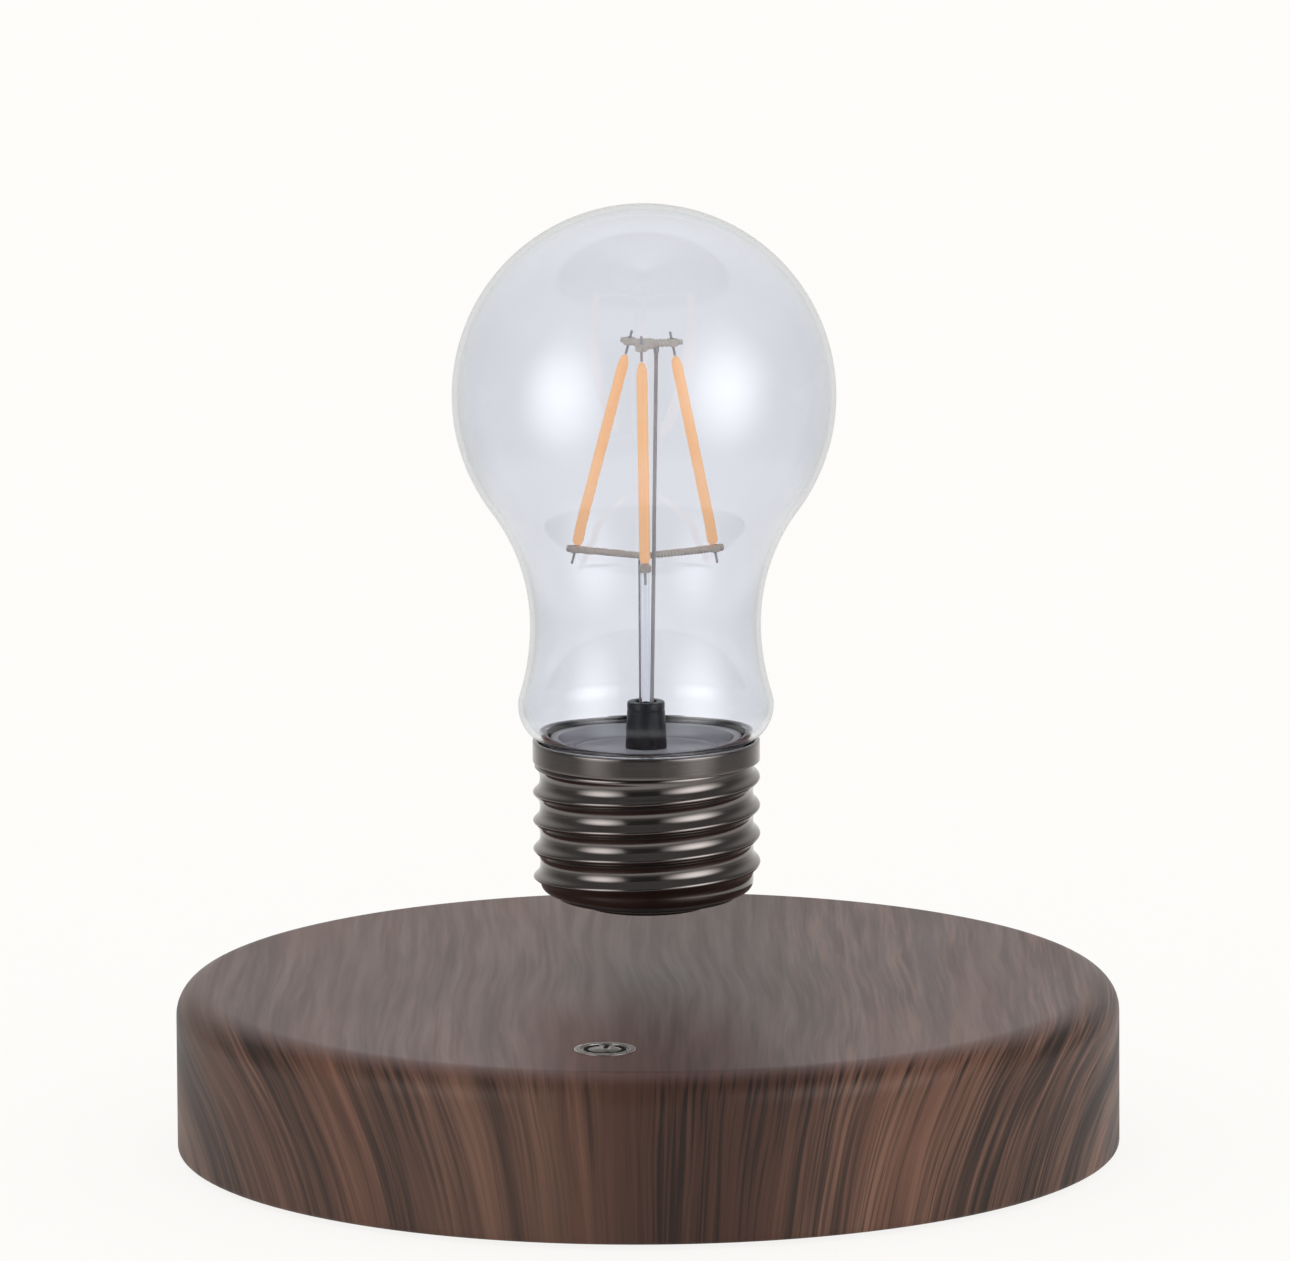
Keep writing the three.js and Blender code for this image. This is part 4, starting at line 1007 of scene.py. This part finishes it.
def make_cage(glass, wire, strip):
    stem = turned(
        [
            (0, STEM_Z),
            (STEM_R - STEM_FOOT_EDGE[0], STEM_Z),
            (STEM_R, STEM_Z + STEM_FOOT_EDGE[1]),
            (STEM_R, STEM_TOP - STEM_EDGE_SUPPORT),
            *arc((STEM_R - STEM_EDGE_R, STEM_TOP - STEM_EDGE_R), STEM_EDGE_R, 0, 90, 5),
            (0, STEM_TOP),
        ],
        HUB_ROUND,
        loop=False,
    )
    finished(mesh_object("stem_glass", moved(stem, BULB_PLACE)), glass, "bulb", ["stem_rod"])
    lead_place = BULB_PLACE @ shift(*polar(LEAD_WIRE_OFFSET, LOWER_ARM_ANGLE + 360 / FILAMENT_COUNT))
    lead = rod(LEAD_WIRE_R, STEM_Z, STEM_TOP, WIRE_ROUND, LEAD_WIRE_EDGE_R)
    finished(mesh_object("feed_wire", moved(lead, lead_place)), wire, "bulb", ["lead_wire"])
    x, y = polar(MAST_REACH, TOP_ARM_ANGLE)
    foot = Vector((*MAST_FOOT, HOLDER_TOP))
    head = Vector((TOP_HUB[0] + x, TOP_HUB[1] + y, TOP_BRACKET_Z - BRACKET_T / 2 - SEAT))
    reach = (head - foot).length + SEAT
    mast = turned(
        [
            (0, -MAST_IN_HOLDER),
            (MAST_R, -MAST_IN_HOLDER),
            *[(MAST_R + added, reach - away) for added, away in MAST_SOLDER],
            (0, reach),
        ],
        WIRE_ROUND,
        loop=False,
    )
    mast_rod = mesh_object("mast_rod", moved(mast, aimed(foot, head)))
    finished(mast_rod, wire, "bulb", ["mast_wire"])
    make_bracket(
        "foot_bracket",
        "lower_bracket",
        LOWER_ARM_LENGTH,
        LOWER_EYE_R,
        LOWER_ARM_ANGLE,
        (0, 0, LOWER_BRACKET_Z),
        strip,
        hub_r=0.9,
        root_r=0.52,
        tip_r=0.6,
    )
    make_bracket(
        "head_bracket",
        "top_bracket",
        TOP_ARM_LENGTH,
        TOP_EYE_R,
        TOP_ARM_ANGLE,
        (*TOP_HUB, TOP_BRACKET_Z),
        strip,
        hub_r=1.15,
        root_r=0.72,
        tip_r=0.42,
    )


# Studio

BACKDROP = colour(253, 252, 250)
FLOOR_SIZE = 6  # metres from its middle to its edge
FLOOR_CARD = 0.9  # how much of the floor is a card of the backdrop's colour, the rest being paper
WHITE_BEHIND = 0.82
DIM_STUDIO = 0.16
PALE_TABLE = 0.64
LEFT_WINDOW = (-52, 13, 23, 24, 2.5)  # turn and height in degrees, half its size each way, light
RIGHT_WINDOW = (53, 14, 28, 25, 3.0)
EYE_HEIGHT = 0.09  # metres above the floor, from where the studio's picture on the floor is drawn

# The dark shape of the camera: its middle, and where its sides, foot and top fade, in degrees
CAMERA_TURN = -6
CAMERA_SIDES = (19.5, 21)
CAMERA_FOOT = (-20, -12)
CAMERA_TOP = (34, 44)
CAMERA_SHADE = 0.65

# Light for dull surfaces
EVEN_LIGHT = 0.9
LIGHT_FROM_ABOVE = 0.2


def polished_view(finish, x, y, z):
    """What polished things see in a direction: white behind the lamp, a dim studio in front of it with
    a pale table and two soft windows, and the dark shape of the camera between them."""
    right, back = polar(1, VIEW_AZIMUTH), polar(1, VIEW_AZIMUTH - 90)
    turn = finish.bearing(x * right[0] + y * right[1], x * back[0] + y * back[1])
    height = finish.bearing(z, (x * x + y * y) ** 0.5)

    def window(turn_at, height_at, half_turn, half_height, light):
        off = (turn - turn_at) / half_turn
        rise = (height - height_at) / half_height
        return finish.eased((off * off + rise * rise) ** 0.5, 0.1, 1.5, 1, 0) * light

    front = finish.eased(height, -26, -14, PALE_TABLE, DIM_STUDIO)
    around = finish.eased(turn.size(), 105, 165, 0, WHITE_BEHIND)
    wide = finish.eased((turn - CAMERA_TURN).size(), *CAMERA_SIDES, 1, 0)
    tall = finish.eased(height, *CAMERA_FOOT) * finish.eased(height, *CAMERA_TOP, 1, 0)
    windows = window(*LEFT_WINDOW) + window(*RIGHT_WINDOW)
    return (front + (1 - front) * around + windows) * (1 - wide * tall * CAMERA_SHADE)


def rays_by_kind(finish):
    """1 for a ray that lights a dull surface, and 1 for a ray that a polished one has turned back."""
    sockets = finish.node("ShaderNodeLightPath").socket.node.outputs
    dull = Level(finish, sockets["Is Diffuse Ray"])
    turned_back = Level(finish, sockets["Glossy Depth"]).least(1)
    return dull, turned_back * (1 - dull)


def make_floor():
    """A pale floor that shows the backdrop's colour and still takes the lamp's shadow."""
    plate = bmesh.new()
    bmesh.ops.create_grid(plate, x_segments=1, y_segments=1, size=FLOOR_SIZE)
    floor = mesh_object("floor", plate)
    material, finish = new_finish("pale_floor")
    dull, turned_back = rays_by_kind(finish)
    x, y, z = finish.parts(finish.coordinates())
    strength = (1 - turned_back) + turned_back * polished_view(finish, x, y, z - EYE_HEIGHT)
    card = finish.node("ShaderNodeEmission", sockets={"Color": BACKDROP, "Strength": strength})
    paper = finish.node("ShaderNodeBsdfDiffuse", sockets={"Color": BACKDROP})
    both = finish.node("ShaderNodeMixShader", sockets={0: (1 - dull) * FLOOR_CARD, 1: paper, 2: card})
    finish.node("ShaderNodeOutputMaterial", sockets={"Surface": both})
    floor.data.materials.append(material)


def make_world():
    """Even white light, and the studio's picture for polished things."""
    world = bpy.data.worlds.new("studio")
    world.use_nodes = True
    bpy.context.scene.world = world
    studio = Finish(world.node_tree)
    x, y, z = studio.parts(studio.coordinates("Generated"))
    dull, turned_back = rays_by_kind(studio)
    even = EVEN_LIGHT + studio.eased(z, -0.2, 1, 0, LIGHT_FROM_ABOVE)
    level = (1 - dull) * (1 - turned_back) + dull * even + turned_back * polished_view(studio, x, y, z)
    light = studio.node("ShaderNodeBackground", sockets={"Color": BACKDROP, "Strength": level})
    studio.node("ShaderNodeOutputWorld", sockets={"Surface": light})


def make_camera():
    scene = bpy.context.scene
    back_x, back_y = polar(1, VIEW_AZIMUTH - 90)
    right = Vector((*polar(1, VIEW_AZIMUTH), 0))
    tilt = math.radians(VIEW_ELEVATION)
    back = Vector((back_x * math.cos(tilt), back_y * math.cos(tilt), math.sin(tilt)))
    look_at = Vector((0, 0, VIEW_HEIGHT))
    place = look_at + back * VIEW_DISTANCE
    up = back.cross(right)
    pixel = VIEW_DISTANCE * VIEW_SENSOR / VIEW_LENS / PHOTO_SIZE[0]
    aside = (PHOTO_SIZE[0] / 2 - VIEW_CENTRE[0]) * pixel
    above = (VIEW_CENTRE[1] - PHOTO_SIZE[1] / 2) * pixel
    aim = look_at + right * aside + up * above
    data = bpy.data.cameras.new("photo_camera")
    data.lens = VIEW_LENS
    data.sensor_width = VIEW_SENSOR
    data.clip_start, data.clip_end = 0.1, 50
    camera = bpy.data.objects.new("photo_camera", data)
    scene.collection.objects.link(camera)
    turn = (aim - place).to_track_quat("-Z", "Y").to_matrix().to_4x4()
    camera.matrix_world = Matrix.Translation(place) @ turn @ spun(-VIEW_ROLL)
    scene.camera = camera
    scene.view_settings.view_transform = "Standard"


# Everything together

make_camera()
make_world()
make_floor()

WALNUT = walnut()
NICKEL_PLATING = black_nickel()
GLASS = clear_glass()
SILICONE = phosphor_with_painted_glow()
WIRE = plain_metal("lead_wire_metal", colour(212, 208, 210), 0.35, (900, 900, 900), 0.3)
STRIP = plain_metal("bracket_metal", colour(242, 233, 222), 0.5, (1500, 1500, 1500), 0.0)
BLACK = plain_plastic("black_plastic", colour(34, 33, 34), 0.5, 2400)
CAP_BLACK = plain_plastic("cap_plastic", colour(40, 36, 36), 0.32, 1800)
DECK_BLACK = plain_plastic("deck_plastic", colour(200, 201, 206), 0.16, 1800, 1.03)
HOLDER_BLACK = plain_plastic("holder_plastic", colour(43, 44, 49), 0.34, 2200)
RUBBER = plain_plastic("foot_rubber", colour(28, 28, 28), 0.8, 1500)
CHIP = plain_plastic("chip_resin", colour(30, 30, 32), 0.55, 3000)
SLEEVE = plain_plastic("capacitor_sleeve", colour(36, 44, 72), 0.35, 1500)
WHITE = plain_plastic("white_plastic", colour(222, 218, 210), 0.5, 2000, 0.96)
FERRITE = plain_plastic("ferrite", colour(58, 58, 60), 0.65, 3500)
STEEL = plain_metal("screw_steel", colour(190, 188, 184), 0.35, (400, 400, 6000))
BRUSHED = plain_metal("switch_metal", colour(184, 179, 177), 0.3, (1400, 300, 300))
SIGN_INK = plain_plastic("sign_ink", colour(20, 18, 18), 0.7, 3000, 1.1, 0.12)
COATED = plain_metal("magnet_nickel", colour(196, 192, 184), 0.2, (500, 500, 500))
COPPER = wound_wire()
BOARD = circuit_board()

FINISHES = {
    "walnut_print": WALNUT,
    "black_plastic": BLACK,
    "foot_rubber": RUBBER,
    "screw_steel": STEEL,
    "circuit_board": BOARD,
    "chip_black": CHIP,
    "capacitor_sleeve": SLEEVE,
    "switch_metal": BRUSHED,
    "white_plastic": WHITE,
    "ferrite": FERRITE,
    "copper_wire": COPPER,
    "magnet_nickel": COATED,
    "cap_black": CAP_BLACK,
    "black_nickel": NICKEL_PLATING,
    "clear_glass": GLASS,
    "holder_black": HOLDER_BLACK,
    "lead_metal": WIRE,
    "filament_phosphor": SILICONE,
}

for entry in frame["record"]["subparts"]:
    node = frame["nodes"][entry["node"]]
    if not node.material_slots:
        node.data.materials.append(None)
    for place in node.material_slots:
        place.material = FINISHES[entry["material_slot"]]

make_shell(WALNUT)
make_switch(BRUSHED, SIGN_INK)
make_cap(NICKEL_PLATING)
make_cap_foot(CAP_BLACK)
make_deck(DECK_BLACK)
make_glass(GLASS)
make_holder(HOLDER_BLACK)
make_cage(GLASS, WIRE, STRIP)
make_filaments(SILICONE, WIRE)
